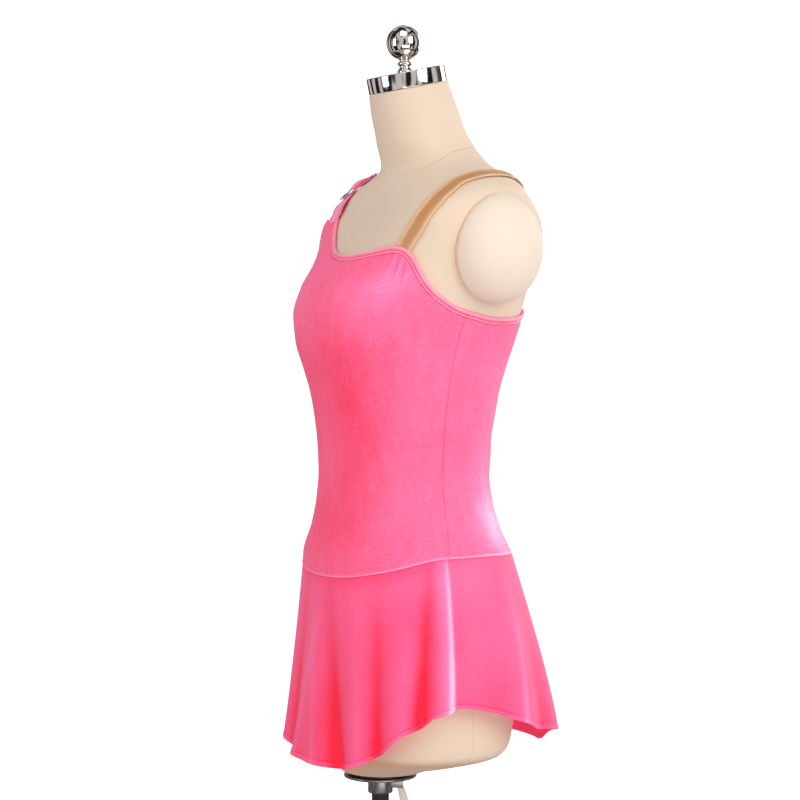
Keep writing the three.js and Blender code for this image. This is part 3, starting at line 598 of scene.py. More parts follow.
def settle(points):
    """Points near the form put onto it, along lines from the middle of the chest, and the normals there."""
    heart = np.array(HEART, float)
    way = np.asarray(points, float) - heart
    inside, outside = np.zeros(len(way)), np.full(len(way), 2.0)
    for _ in range(40):
        middle = (inside + outside) / 2
        probe = heart + way * middle[:, None]
        half_width, front, back, widest, square_front, square_back = form_section(probe[:, 2]).T
        depth = np.where(probe[:, 1] < widest, widest - front, back - widest)
        square = np.where(probe[:, 1] < widest, square_front, square_back)
        reach = np.abs(probe[:, 0] / half_width) ** square + np.abs((probe[:, 1] - widest) / depth) ** square
        inside = np.where(reach < 1, middle, inside)
        outside = np.where(reach < 1, outside, middle)
    found = heart + way * inside[:, None]
    found[:, 2] += FORM_LIFT
    return found, form_normal(bearing_of(found), found[:, 2] - FORM_LIFT)


def past_side(points):
    """How far points in front of the form's widest line stand out past its side. Others count as far."""
    half_width, _, _, widest, _, _ = form_section(points[:, 2] - FORM_LIFT).T
    x, y = points[:, 0], points[:, 1] - widest
    return np.where(y < 0, np.hypot(x, y) * (1 - half_width / np.abs(x)), FAR)


def turn_from_front(bearing):
    """How far a bearing is from the centre front, either way."""
    return np.abs((np.asarray(bearing) + 90 + 180) % 360 - 180)


def waist_height(bearing):
    """Height of the seam between the bodice and the skirt."""
    return waist_seam(turn_from_front(bearing))[..., 0]


def bump(away, width):
    """A soft ridge: 1 on its line, falling off with the distance away from it."""
    return np.exp(-((away / width) ** 2))


def rolls(table, away):
    """How far a seam's rolls and grooves stand out, at a distance away from it."""
    return sum(height * bump(away - at, width) for height, at, width in table)


def tangents(points):
    """Directions along a row of points."""
    return np.vstack([points[1] - points[0], points[2:] - points[:-2], points[-1] - points[-2]])


def run_of(points):
    """Length of a row of points."""
    return np.linalg.norm(np.diff(points, axis=0), axis=1).sum()


# ---------------------------------------------------------------- mesh helpers
def added(bm, name, material):
    """Makes a bmesh the mesh of a new, smoothly shaded object."""
    for face in bm.faces:
        face.smooth = True
    mesh = bpy.data.meshes.new(name)
    bm.to_mesh(mesh)
    bm.free()
    piece = bpy.data.objects.new(name, mesh)
    bpy.context.scene.collection.objects.link(piece)
    mesh.materials.append(material)
    return piece


def publish(bm, name, body, material):
    """Makes a bmesh a new piece that rides on a body."""
    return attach(added(bm, name, material), body)


def stand_for(piece, node):
    """Hides a CAD node, whose place a piece takes."""
    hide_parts(node)


def absorb(bm, other):
    """Adds one bmesh to another."""
    scratch = bpy.data.meshes.new("scratch")
    other.to_mesh(scratch)
    other.free()
    bm.from_mesh(scratch)
    bpy.data.meshes.remove(scratch)


def shares(count, first=0.0, last=0.0, closer=10):
    """Even shares from 0 to 1, with more lines within the first and the last stretch."""
    near, far = np.linspace(0, first, closer + 1), np.linspace(1 - last, 1, closer + 1)
    return np.unique(np.round(np.concatenate([np.linspace(0, 1, count + 1), near, far]), 6))


def woven(columns, rows, place, size=(1.0, 1.0), wrap=False, caps=False, out_from=None, marks=None):
    """A bmesh grid laid onto a surface. place(u, v) gives its points in millimetres at the shares of its
    columns and rows. wrap joins its first and last columns, caps closes its first and last rows, and out_from
    is the point that its faces turn away from. size is its UV map in metres, and marks holds a function of
    (u, v) for each vertex attribute."""
    bm = bmesh.new()
    uv = bm.loops.layers.uv.new("UVMap")
    bmesh.ops.create_grid(bm, x_segments=len(columns) - 1, y_segments=len(rows) - 1, size=0.5)
    bm.verts.ensure_lookup_table()
    even = np.array([v.co for v in bm.verts]) + 0.5
    u = columns[np.rint(even[:, 0] * (len(columns) - 1)).astype(int)]
    v = rows[np.rint(even[:, 1] * (len(rows) - 1)).astype(int)]
    for name, mark in (marks or {}).items():
        layer = bm.verts.layers.float.new(name)
        for vert, value in zip(bm.verts, mark(u, v)):
            vert[layer] = value
    flat = np.stack([u * size[0], v * size[1]], -1)
    for face in bm.faces:
        for loop in face.loops:
            loop[uv].uv = flat[loop.vert.index]
    for vert, point in zip(bm.verts, place(u, v) * MM):
        vert.co = point
    if wrap:
        bmesh.ops.remove_doubles(bm, verts=bm.verts, dist=1e-6)
    if caps:
        edges = [edge for edge in bm.edges if edge.is_boundary]
        bmesh.ops.holes_fill(bm, edges=edges, sides=0)
        bmesh.ops.recalc_face_normals(bm, faces=bm.faces)
    elif out_from is not None:
        bm.normal_update()
        middle = Vector(out_from) * MM
        facing = [(face.calc_center_median() - middle).dot(face.normal) for face in bm.faces]
        if sum(facing) < 0:
            bmesh.ops.reverse_faces(bm, faces=bm.faces)
    return bm


def swept(path, side, up, section, closed=False, lift=None, crown=0.0):
    """A section of (side, up) points carried along a path, in millimetres, with its side value kept as a
    vertex attribute. With a lift for each point of the path, the section follows the form's surface and
    stands that much further off it, in its middle only where the crown is 1."""
    ring = np.vstack([section, section[:1]])
    count, around = len(path), len(section)
    half = np.abs(section[:, 0]).max()

    def at(u):
        return ring[np.rint(u * around).astype(int)]

    def place(u, v):
        i = np.rint(v * (count - 1)).astype(int)
        offset = at(u)
        spot = path[i] + side[i] * offset[:, :1]
        if lift is None:
            return spot + up[i] * offset[:, 1:]
        foot, out = settle(spot - np.array([0, 0, FORM_LIFT]))
        raised = lift[i][:, None] * (1 - crown * (offset[:, :1] / half) ** 2)
        return foot + out * (offset[:, 1:] + raised)

    size = (run_of(ring) * MM, run_of(path) * MM)
    return woven(shares(around), shares(count - 1), place, size=size, wrap=True, caps=not closed,
                 marks={"side": lambda u, v: at(u)[:, 0]})


def turned(profile, steps, matrix=Matrix.Identity(4)):
    """A profile of (radius, height) in millimetres, turned about the Z axis and put in place by a matrix."""
    bm = bmesh.new()
    verts = [bm.verts.new((radius * MM, 0, height * MM)) for radius, height in profile]
    edges = [bm.edges.new(pair) for pair in zip(verts, verts[1:])]
    bmesh.ops.spin(bm, geom=verts + edges, axis=(0, 0, 1), cent=(0, 0, 0), steps=steps, angle=math.tau,
                   use_merge=True)
    bmesh.ops.remove_doubles(bm, verts=bm.verts, dist=1e-6)
    bmesh.ops.recalc_face_normals(bm, faces=bm.faces)
    bmesh.ops.transform(bm, matrix=matrix, verts=bm.verts)
    return bm


def soften(bm, radius, sharp=math.radians(30)):
    """Rounds the edges of a mesh that turn by more than an angle."""
    edges = [edge for edge in bm.edges if len(edge.link_faces) == 2 and edge.calc_face_angle() > sharp]
    bmesh.ops.bevel(bm, geom=edges, offset=radius * MM, offset_type="OFFSET", segments=3, profile=0.5,
                    affect="EDGES", material=-1, clamp_overlap=True)


def arc(centre, radius, start, end, count):
    """Points on an arc of a profile, in degrees from the profile's outward direction."""
    angles = np.radians(np.linspace(start, end, count))
    return [(centre[0] + radius * math.cos(a), centre[1] + radius * math.sin(a)) for a in angles]


def thicken(piece, wall, wrong_side):
    """Gives a cloth surface its thickness, inwards from its right side, and its wrong side a material."""
    piece.data.materials.append(wrong_side)
    solid = piece.modifiers.new("Cloth thickness", "SOLIDIFY")
    solid.thickness = wall
    solid.offset = -1
    solid.use_rim = True
    solid.material_offset = 1


# ---------------------------------------------------------------- materials
class Value:
    """A number in a shader. Expressions on it add Math nodes."""

    def __init__(self, finish, socket):
        self.finish = finish
        self.socket = socket

    def calc(self, operation, *others):
        """A Math node on this value and others."""
        return self.finish.node("ShaderNodeMath", {"operation": operation}, self, *others)

    def __add__(self, other):
        return self.calc("ADD", other)

    def __sub__(self, other):
        return self.calc("SUBTRACT", other)

    def __rsub__(self, other):
        return self.finish.node("ShaderNodeMath", {"operation": "SUBTRACT"}, other, self)

    def __mul__(self, other):
        return self.calc("MULTIPLY", other)

    def __truediv__(self, other):
        return self.calc("DIVIDE", other)

    __radd__ = __add__
    __rmul__ = __mul__

    def clamp(self):
        return self.finish.node("ShaderNodeClamp", {}, self)

    def stripe(self, middle, width):
        """1 at a middle value, falling evenly to 0 at the width away from it."""
        away = ((self - middle) / width).calc("ABSOLUTE")
        return (1 - away).clamp()


class Finish:
    """A material on a Principled shader, and the nodes that feed it."""

    def __init__(self, name, colour, roughness, **constants):
        self.material = bpy.data.materials.new(name)
        self.material.use_nodes = True
        self.tree = self.material.node_tree
        self.shader = self.tree.nodes["Principled BSDF"]
        self.material.diffuse_color = (*colour, 1)
        self.shader.inputs["Base Color"].default_value = (*colour, 1)
        self.shader.inputs["Roughness"].default_value = roughness
        for name, value in constants.items():
            socket = self.shader.inputs[name.replace("_", " ").title().replace("Ior", "IOR")]
            socket.default_value = (*value, 1) if isinstance(value, tuple) else value
        coordinates = self.tree.nodes.new("ShaderNodeTexCoord")
        self.object = Value(self, coordinates.outputs["Object"])
        self.uv = Value(self, coordinates.outputs["UV"])

    def node(self, kind, settings, *values, out=0, **named):
        """Adds a node: its settings first, then the values or links of its sockets."""
        made = self.tree.nodes.new(kind)
        for key, setting in settings.items():
            setattr(made, key, setting)
        for key, value in [*enumerate(values), *named.items()]:
            self.feed(made.inputs[key], value)
        return Value(self, made.outputs[out])

    def feed(self, socket, value):
        """Links a Value to a socket, or sets the socket to a plain value."""
        if isinstance(value, Value):
            self.tree.links.new(value.socket, socket)
        else:
            socket.default_value = value

    def noise(self, scale, detail=2.0, roughness=0.5, stretch=None):
        """Noise on the piece's own coordinates, squeezed along each axis by its stretch."""
        where = self.object
        if stretch:
            where = self.node("ShaderNodeMapping", {}, where, Scale=stretch)
        return self.node("ShaderNodeTexNoise", {}, Vector=where, Scale=scale, Detail=detail,
                         Roughness=roughness)

    def attribute(self, name):
        """A number kept at the piece's vertices."""
        return self.node("ShaderNodeAttribute", {"attribute_name": name}, out="Fac")

    def blend(self, factor, first, second):
        """Mixes two colours, each a tuple or a Value."""
        made = self.tree.nodes.new("ShaderNodeMix")
        made.data_type = "RGBA"
        for socket, value in ((0, factor), (6, first), (7, second)):
            self.feed(made.inputs[socket], (*value, 1) if isinstance(value, tuple) else value)
        return Value(self, made.outputs[2])

    def axes(self, vector):
        """The three numbers of a vector."""
        made = self.tree.nodes.new("ShaderNodeSeparateXYZ")
        self.feed(made.inputs[0], vector)
        return [Value(self, output) for output in made.outputs]

    def surface(self, **values):
        """Feeds the shader's sockets, named in lower case with underscores."""
        for key, value in values.items():
            self.feed(self.shader.inputs[key.replace("_", " ").title()], value)

    def bumps(self, height, depth, strength=1.0):
        """A bump that stands depth metres high where the height is 1."""
        bump_node = self.node("ShaderNodeBump", {}, Strength=strength, Distance=depth, Height=height)
        self.feed(self.shader.inputs["Normal"], bump_node)


def shade_of(colour, factor):
    """The colour made lighter or darker."""
    return tuple(min(channel * factor, 1.0) for channel in colour)


PAINTED_DYE_GLOW = (0.07, 0.0, 0.006)  # painted glow: red that the pink velvet gives off as if it were a lamp, for the light its fluorescent dye gives back
PAINTED_INNER_GLOW = (0.3, 0.008, 0.04)  # a stronger painted glow on the back of the velvet, which stands in for light that comes through the cloth inside the skirt


def dyed(name, colour, roughness, sheen, sheen_roughness, sheen_tint, gloss, painted_glow=PAINTED_DYE_GLOW):
    """The start of a pink velvet's material: its sheen, its gloss and a painted glow for its fluorescent dye.
    """
    return Finish(name, colour, roughness, sheen_weight=sheen, sheen_roughness=sheen_roughness,
                  sheen_tint=sheen_tint, specular_ior_level=gloss, emission_color=painted_glow, emission_strength=1.0)


def tight_velvet(name, colour):
    """The start of the material of velvet pulled tight, on the bindings and the pink strap."""
    return dyed(name, colour, 0.45, sheen=0.5, sheen_roughness=0.35, sheen_tint=(1.0, 0.75, 0.92), gloss=0.4)


def velvet(name, settings, colour, speckle, panel, edge):
    """Stretch velvet: brushed patches, a fine sparkle of pile and soft vertical strokes. A vertex attribute
    of painted light and shade runs from 0 in painted shade, over 1 in painted light, to 2 under a painted
    shine. The panel's UV length and the depth of its turned edge, both in metres, place a stitched edge with
    a painted highlight at its foot."""
    finish = dyed(name, colour, 0.62, sheen=0.22, sheen_roughness=0.4, sheen_tint=(1.0, 0.7, 0.9), gloss=0.2)
    patches = finish.noise(11.0, 3.0)
    strokes = finish.noise(70.0, 3.0, 0.6, stretch=(1.0, 1.0, 0.3))
    pile = finish.noise(400.0, 3.0, 0.75)
    grain = finish.noise(2300.0, 1.0)
    around, down = finish.axes(finish.uv)[:2]
    from_foot = panel - down
    # rim: the edge turned at the panel's foot, raised in the bump and lightened in the colour as a painted
    # highlight
    rim = ((edge - from_foot) / (edge * 0.4)).clamp()
    stitch = from_foot.stripe(edge, 0.0007) * ((around * 2100.0).calc("SINE") * 2 + 1).clamp()
    # lift: painted light and shade from the vertex attribute, moved at random by patches, strokes and pile,
    # with the turned edge's painted highlight and the stitches
    lift = finish.attribute("painted_light") + (patches - 0.5) * 0.4 + (strokes - 0.5) * speckle * 0.35
    lift = lift + (pile - 0.5) * speckle + rim * 0.16 - stitch * 0.45
    # the colour runs from deep pile and painted shade, over the velvet's own colour and light pile with
    # painted highlights, to a painted shine
    tone = finish.blend((lift * 2).clamp(), tuple(settings.deep_pile_and_shade), colour)
    tone = finish.blend((lift * 2 - 1).clamp(), tone, tuple(settings.light_pile_and_highlight))
    tone = finish.blend((lift - 1).clamp(), tone, tuple(settings.painted_shine))
    finish.surface(base_color=tone, roughness=0.72 - pile * 0.2)
    finish.bumps(pile * 0.5 + grain * 0.25 + rim * 0.5 - stitch * 0.9, 0.0004, 0.4)
    return finish.material


def velvet_back(name, settings):
    """The knitted back of the velvet, matt and deep in colour, with a painted glow standing in for light
    through the cloth.
    """
    colour = tuple(settings.lining_colour)
    finish = dyed(name, colour, 0.8, sheen=0.15, sheen_roughness=0.5, sheen_tint=(1.0, 0.6, 0.7), gloss=0.2,
                  painted_glow=PAINTED_INNER_GLOW)
    patches = finish.noise(30.0, 3.0)
    around, down = finish.axes(finish.uv)[:2]
    courses = (down * 5200.0).calc("SINE") * (around * 4700.0).calc("SINE") * 0.5 + 0.5
    finish.surface(base_color=finish.blend(patches, shade_of(colour, 0.85), shade_of(colour, 1.05)),
                   roughness=0.74 + patches * 0.12)
    finish.bumps(courses, 0.00015, 0.3)
    return finish.material


def binding_cloth(name, settings):
    """The velvet pulled tight over a rolled edge: a painted highlight on its rolls, painted shade in the
    groove between them.
    """
    colour = tuple(settings.bodice_colour)
    finish = tight_velvet(name, colour)
    side = finish.attribute("side")
    along = finish.axes(finish.uv)[1]
    pulls = (along * 3900.0).calc("SINE") * 0.5 + 0.5
    patches = finish.noise(140.0, 3.0)
    roll = side.stripe(2.0, 2.4)
    groove = side.stripe(5.4, 0.8)
    ridge = side.stripe(6.7, 0.9)
    # a painted highlight on the broad roll and the narrow ridge, with random patches
    lift = (roll * 0.75 + ridge * 0.8 + (patches - 0.5) * 0.5 + 0.22).clamp()
    tone = finish.blend(lift, colour, tuple(settings.roll_highlight))
    # painted shade in the groove
    finish.surface(base_color=finish.blend(groove * 0.35, tone, tuple(settings.deep_pile_and_shade)),
                   roughness=0.4 + patches * 0.15)
    finish.bumps(pulls * groove + finish.noise(900.0) * 0.4, 0.0003, 0.3)
    return finish.material


def strap_cloth(name, settings):
    """The doubled velvet strap: a painted lilac sheen down its middle with fine slanted stitches, between two
    rolled edges with painted shade in the grooves inside them.
    """
    colour = tuple(settings.bodice_colour)
    finish = tight_velvet(name, colour)
    side = finish.attribute("side")
    along = finish.axes(finish.uv)[1]
    half = settings.strap_width / MM / 2
    middle = side.stripe(0.0, half * 0.8)
    slant = ((along * 2600.0 + side * 1.4).calc("SINE") * 1.5 - 0.5).clamp() * middle
    # painted shade in the groove inside each rolled edge
    edge = side.calc("ABSOLUTE").stripe(half - 3.2, 0.9)
    patches = finish.noise(120.0, 3.0)
    # a painted lilac sheen down the middle, with random patches
    lift = (middle * 0.9 + (patches - 0.5) * 0.4 + 0.34).clamp()
    tone = finish.blend(lift, colour, tuple(settings.strap_sheen))
    tone = finish.blend(slant * 0.4, tone, colour)
    finish.surface(base_color=finish.blend(edge * 0.3, tone, tuple(settings.deep_pile_and_shade)),
                   roughness=0.4 + patches * 0.15)
    finish.bumps(finish.noise(900.0) * 0.4 - slant * 0.8 - edge * 0.5, 0.0004, 0.35)
    return finish.material


def elastic(name, settings):
    """Plush satin elastic: a recessed middle in painted shade with fine lengthwise ribs, and a painted
    highlight on its edges.
    """
    colour = tuple(settings.nude_colour)
    finish = Finish(name, colour, 0.38, sheen_weight=0.3, sheen_roughness=0.3, sheen_tint=(1.0, 0.88, 0.7),
                    specular_ior_level=0.5, anisotropic=0.4)
    side = finish.attribute("side")
    half = settings.nude_strap_width / MM / 2
    # a painted highlight towards the edges over the middle's painted shade
    outer = ((side.calc("ABSOLUTE") - half * 0.35) / (half * 0.5)).clamp()
    line = side.calc("ABSOLUTE").stripe(half * 0.6, 0.6)
    ribs = (side * 9.0).calc("SINE") * 0.5 + 0.5
    patches = finish.noise(70.0, 2.0)
    tone = finish.blend(outer * 0.85 + patches * 0.15, colour, tuple(settings.nude_edge_highlight))
    finish.surface(base_color=finish.blend(line * 0.25, tone, shade_of(colour, 0.7)),
                   roughness=0.34 + patches * 0.12)
    finish.bumps(ribs * 0.5 - line, 0.0002, 0.4)
    return finish.material


def knitted_cover(name, settings, colour):
    """Fine cream jersey over a firm core, with seams where its seam attributes pass through 0 and a warm
    shade where its root attribute comes down to 0. All are in millimetres."""
    finish = Finish(name, colour, 0.7, sheen_weight=0.2, sheen_roughness=0.5, sheen_tint=(1.0, 0.95, 0.88),
                    specular_ior_level=0.3)
    x, y, z = finish.axes(finish.object)
    courses = (z * 7400.0).calc("SINE") * 0.5 + 0.5
    wales = ((x + y) * 6200.0).calc("SINE") * 0.5 + 0.5
    patches = finish.noise(5.0, 3.0)
    fuzz = finish.noise(620.0, 3.0, 0.6)
    seam = finish.attribute("seam").stripe(0.0, 0.9)
    dots = finish.attribute("stitched_seam").stripe(0.0, 0.8) * ((z * 1500.0).calc("SINE") * 2 + 0.6).clamp()
    root = (1 - finish.attribute("root") / 7.0).clamp()
    tone = finish.blend(patches * 0.7 + fuzz * 0.3, shade_of(colour, 0.93), shade_of(colour, 1.05))
    tone = finish.blend(seam * 0.4 + dots * 0.45, tone, tuple(settings.seam_colour))
    finish.surface(base_color=finish.blend(root * root * 0.75, tone, tuple(settings.root_colour)),
                   roughness=0.62 + fuzz * 0.16)
    finish.bumps(courses * wales * 0.5 + fuzz * 0.4 - seam - dots, 0.00022, 0.4)
    return finish.material


def polished(name, colour, roughness=0.09):
    """Chrome with faint wipe marks."""
    finish = Finish(name, colour, roughness, metallic=1.0)
    wipes = finish.noise(140.0, 3.0, stretch=(1.0, 1.0, 0.15))
    finish.surface(roughness=wipes * 0.09 + roughness * 0.5)
    finish.bumps(wipes, 0.00004, 0.2)
    return finish.material


def satin_metal(name, colour, roughness, metallic):
    """Drawn or enamelled metal with a fine grain."""
    finish = Finish(name, colour, roughness, metallic=metallic)
    grain = finish.noise(420.0, 3.0, 0.6)
    wear = finish.noise(24.0, 4.0)
    finish.surface(base_color=finish.blend(wear, shade_of(colour, 0.8), shade_of(colour, 1.3)),
                   roughness=grain * 0.18 + roughness)
    finish.bumps(grain, 0.00008, 0.3)
    return finish.material


def moulded_plastic(name, colour):
    """Smooth plastic with a faint haze."""
    finish = Finish(name, colour, 0.38, specular_ior_level=0.5)
    grain = finish.noise(500.0, 2.0)
    haze = finish.noise(40.0, 3.0)
    finish.surface(base_color=finish.blend(haze, shade_of(colour, 0.93), shade_of(colour, 1.06)),
                   roughness=0.32 + haze * 0.16)
    finish.bumps(grain, 0.00006, 0.3)
    return finish.material


# ---------------------------------------------------------------- the dress form
class DRESS_OT_form(bpy.types.Operator):
    """Build the form's cover: neck, chest, waist, hips and the slanted underside"""
    bl_idname = "dress.form"
    bl_label = "Form"

    def execute(self, context):
        settings = context.scene.dress_form
        cover = knitted_cover("Cream jersey", settings, tuple(settings.cover_colour))
        stretches = ((FORM_FOOT, 60, 60), (60, 250, 40), (250, FORM_TOP, 260))
        heights = np.unique(np.concatenate([np.linspace(low, high, count) for low, high, count in stretches]))

        def height_at(v):
            return FORM_FOOT + (FORM_TOP - FORM_FOOT) * v

        def place(u, v):
            return form_point(u * 360, height_at(v))

        def seam(u, v):
            bearing, height = u * 360, height_at(v)
            rise = form_point(bearing, height + 0.5) - form_point(bearing, height - 0.5)
            return (height - neck_seam(turn_from_front(bearing))[..., 0]) * np.linalg.norm(rise, axis=-1)

        def stitched_seam(u, v):
            bearing, height = u * 360, height_at(v)
            side = np.where(np.cos(np.radians(bearing)) > 0, bearing, 180 - bearing)
            aside = (side - thigh_seam(height)[..., 0] + 180) % 360 - 180
            return np.where(height < THIGH_SEAM[-1][0], aside * math.radians(1) * THIGH_RADIUS, FAR)

        def root(u, v):
            over_rim = 2.5 + np.clip(height_at(v) - RIM_HEIGHT, -RIM_SHADE, RIM_SHADE)
            return over_rim + np.where(height_at(v) > RIM_SHADE_TOP, FAR, 0)

        rows = (heights - FORM_FOOT) / (FORM_TOP - FORM_FOOT)
        bm = woven(shares(200), rows, place, size=(0.9, 0.8), wrap=True, caps=True,
                   marks={"seam": seam, "stitched_seam": stitched_seam, "root": root})
        stand_for(publish(bm, "form_cover", "form", cover), "form")
        return {"FINISHED"}


class DRESS_OT_arm_pads(bpy.types.Operator):
    """Build the two rounded caps over the shoulder ends"""
    bl_idname = "dress.arm_pads"
    bl_label = "Arm pads"

    def execute(self, context):
        settings = context.scene.dress_form
        cover = knitted_cover("Cream jersey on the pads", settings, tuple(settings.pad_colour))
        for side, name in ((1, "left"), (-1, "right")):
            bm = bmesh.new()
            bmesh.ops.create_uvsphere(bm, u_segments=96, v_segments=64, radius=1.0)
            centre = Vector((side * PAD_CENTRE[0], PAD_CENTRE[1], FORM_LIFT + PAD_CENTRE[2])) * MM
            bmesh.ops.scale(bm, vec=Vector(PAD_RADII) * MM, verts=bm.verts)
            bmesh.ops.translate(bm, vec=centre, verts=bm.verts)
            root = bm.verts.layers.float.new("root")
            seams = [bm.verts.layers.float.new(mark) for mark in ("seam", "stitched_seam")]
            off_form = past_side(np.array([vert.co for vert in bm.verts]) / MM)
            for vert, distance in zip(bm.verts, off_form):
                vert[root] = max(distance, 0)
                for seam in seams:
                    vert[seam] = FAR
            piece = publish(bm, f"arm_pad_{name}_cover", "form", cover)
            stand_for(piece, f"arm_pad_{name}")
        return {"FINISHED"}


class DRESS_OT_neck_metal(bpy.types.Operator):
    """Build the chrome cap on the neck and its ball finial"""
    bl_idname = "dress.neck_metal"
    bl_label = "Neck cap and finial"

    def execute(self, context):
        settings = context.scene.dress_form
        chrome = polished("Chrome", tuple(settings.chrome_colour))
        tilt = Matrix.Rotation(math.radians(NECK_TILT), 4, "X")
        seat = Matrix.Translation(Vector(NECK_TOP) * MM) @ tilt
        rim = CAP_RADIUS - 1
        top = CAP_HEIGHT
        cap = [(0, SEAM_GAP), (rim, SEAM_GAP), *arc((rim, SEAM_GAP + 1), 1, -90, 0, 4),
               *arc((rim - 0.4, top - 1.4), 1.4, 0, 90, 5), (CAP_RADIUS - 8, top), (0, top)]
        piece = publish(turned(cap, settings.round_steps, seat), "neck_cap_chrome", "form", chrome)
        stand_for(piece, "neck_cap")

        upright = Matrix.Rotation(math.radians(FINIAL_LEAN), 4, "X")
        place = Matrix.Translation((Vector(NECK_TOP) + tilt @ Vector((0, 0, CAP_HEIGHT))) * MM) @ upright
        ball = [(BALL_RADIUS * math.sin(a), BALL_CENTRE - BALL_RADIUS * math.cos(a))
                for a in np.linspace(math.asin(STEM_TOP / BALL_RADIUS), math.pi, 40)[1:-1]]
        finial = turned([*STEM, *ball, (0, BALL_CENTRE + BALL_RADIUS)], 72, place)
        stand_for(publish(finial, "finial_ball", "form", chrome), "finial")
        return {"FINISHED"}


# ---------------------------------------------------------------- the bodice
def front_sides(height):
    """Bearings of the front panel's left and right edges."""
    seam = side_seam(height)[..., 0]
    return seam, -180 - seam


def back_sides(height):
    """Bearings of the back panel's left and right edges."""
    seam = side_seam(height)[..., 0]
    return seam, 180 - seam


def edge_frames(table, count):
    """Points, normals and directions across at even steps along a top edge, and its bearings at the waist."""
    rows = smooth_route(table, count)
    points = form_point(rows[:, 0], rows[:, 1])
    normals = form_normal(rows[:, 0], rows[:, 1])
    across = unit(np.cross(tangents(points), normals))
    for end in (0, -1):
        if rows[end, 1] < SIDE_SEAM_TOP + 0.1:
            down = unit(form_point(rows[end, 0], rows[end, 1] - 1) - points[end])
            across[end] = -down if down[2] * across[end][2] < 0 else down
    return points, normals, across, rows[:, 2]


def inset_edge(frames, sign, width):
    """The panel's own edge, in from the binding's outer edge."""
    points, _, across, foot = frames
    inset = points + across * sign * (width + SEAM_GAP)
    return np.stack([bearing_of(inset), inset[:, 2] - FORM_LIFT, foot], -1)


NECK_FRAMES = edge_frames(NECKLINE, 220)
ARM_FRAMES = edge_frames(RIGHT_ARMHOLE, 90)
BACK_FRAMES = edge_frames(BACK_EDGE, 170)

CREASES = [
    # a crease's start and end bearing and height, half width and height in millimetres; each is mirrored
    (42.6, 429, 29, 334, 3.4, 0.9),
    (38.6, 326.6, 31.5, 312.2, 3.0, 0.8),
    (56, 440, 40, 372, 4.5, 1.1),
    (66, 400, 50, 350, 6.0, 1.0),
    (24, 352, 2, 342, 6.0, 0.45),
    (-24, 306, -62, 290, 8.0, 0.45),
]
GATHERS = [
    # small pulls below the left strap's peak: start and end bearing and height, half width, height
    (-52, 601.7, -51.5, 580, 1.4, 0.7),
    (-50, 600, -48.5, 577, 1.2, -1.3),
    (-47.5, 599.5, -45, 574, 1.3, 0.9),
    (-45, 598.5, -41.5, 571, 1.2, -1.5),
    (-42.5, 596.5, -38.5, 566, 1.4, 1.0),
    (-40, 594, -35, 562, 1.2, -1.3),
    (-37.5, 590, -32.5, 560, 1.4, 0.7),
    (-56, 602, -58, 588, 1.6, -0.6),
]
BODICE_LIGHT_AND_SHADE = [
    # painted light and shade on the bodice, a painted highlight on the chest and painted shade down the front
    # among them:
    # bearing, height, half widths in degrees and millimetres, lift; each is mirrored
    (40, 310, 30, 80, 0.12),
    (-40, 566, 11, 20, 0.35),
    (-62, 548, 24, 30, 0.2),
    (-64, 400, 22, 120, -0.3),
    (-80, 480, 20, 60, -0.12),
    (-88, 290, 24, 50, -0.1),
    (14, 440, 16, 90, 0.04),
    (34, 400, 16, 130, 0.2),
    (36, 292, 18, 34, 0.55),
    (62, 300, 24, 60, 0.35),
]


def crease_height(bearing, height):
    """How far creases lift the bodice, in millimetres."""
    lift = np.zeros_like(bearing)
    rows = CREASES + GATHERS + [(180 - a, h, 180 - b, k, w, d) for a, h, b, k, w, d in CREASES]
    for start, low, end, high, width, depth in rows:
        way = np.array([(end - start) * ARC_PER_DEGREE, high - low])
        length = np.linalg.norm(way)
        aside = np.stack([((bearing - start + 180) % 360 - 180) * ARC_PER_DEGREE, height - low], -1)
        along = aside @ way / length**2
        away = np.abs(aside @ np.array([-way[1], way[0]])) / length
        ends = np.clip(1 - np.abs(along * 2 - 1), 0, 1) ** 0.5 * (np.abs(along * 2 - 1) < 1)
        lift += depth * bump(away, width) * ends
    return lift


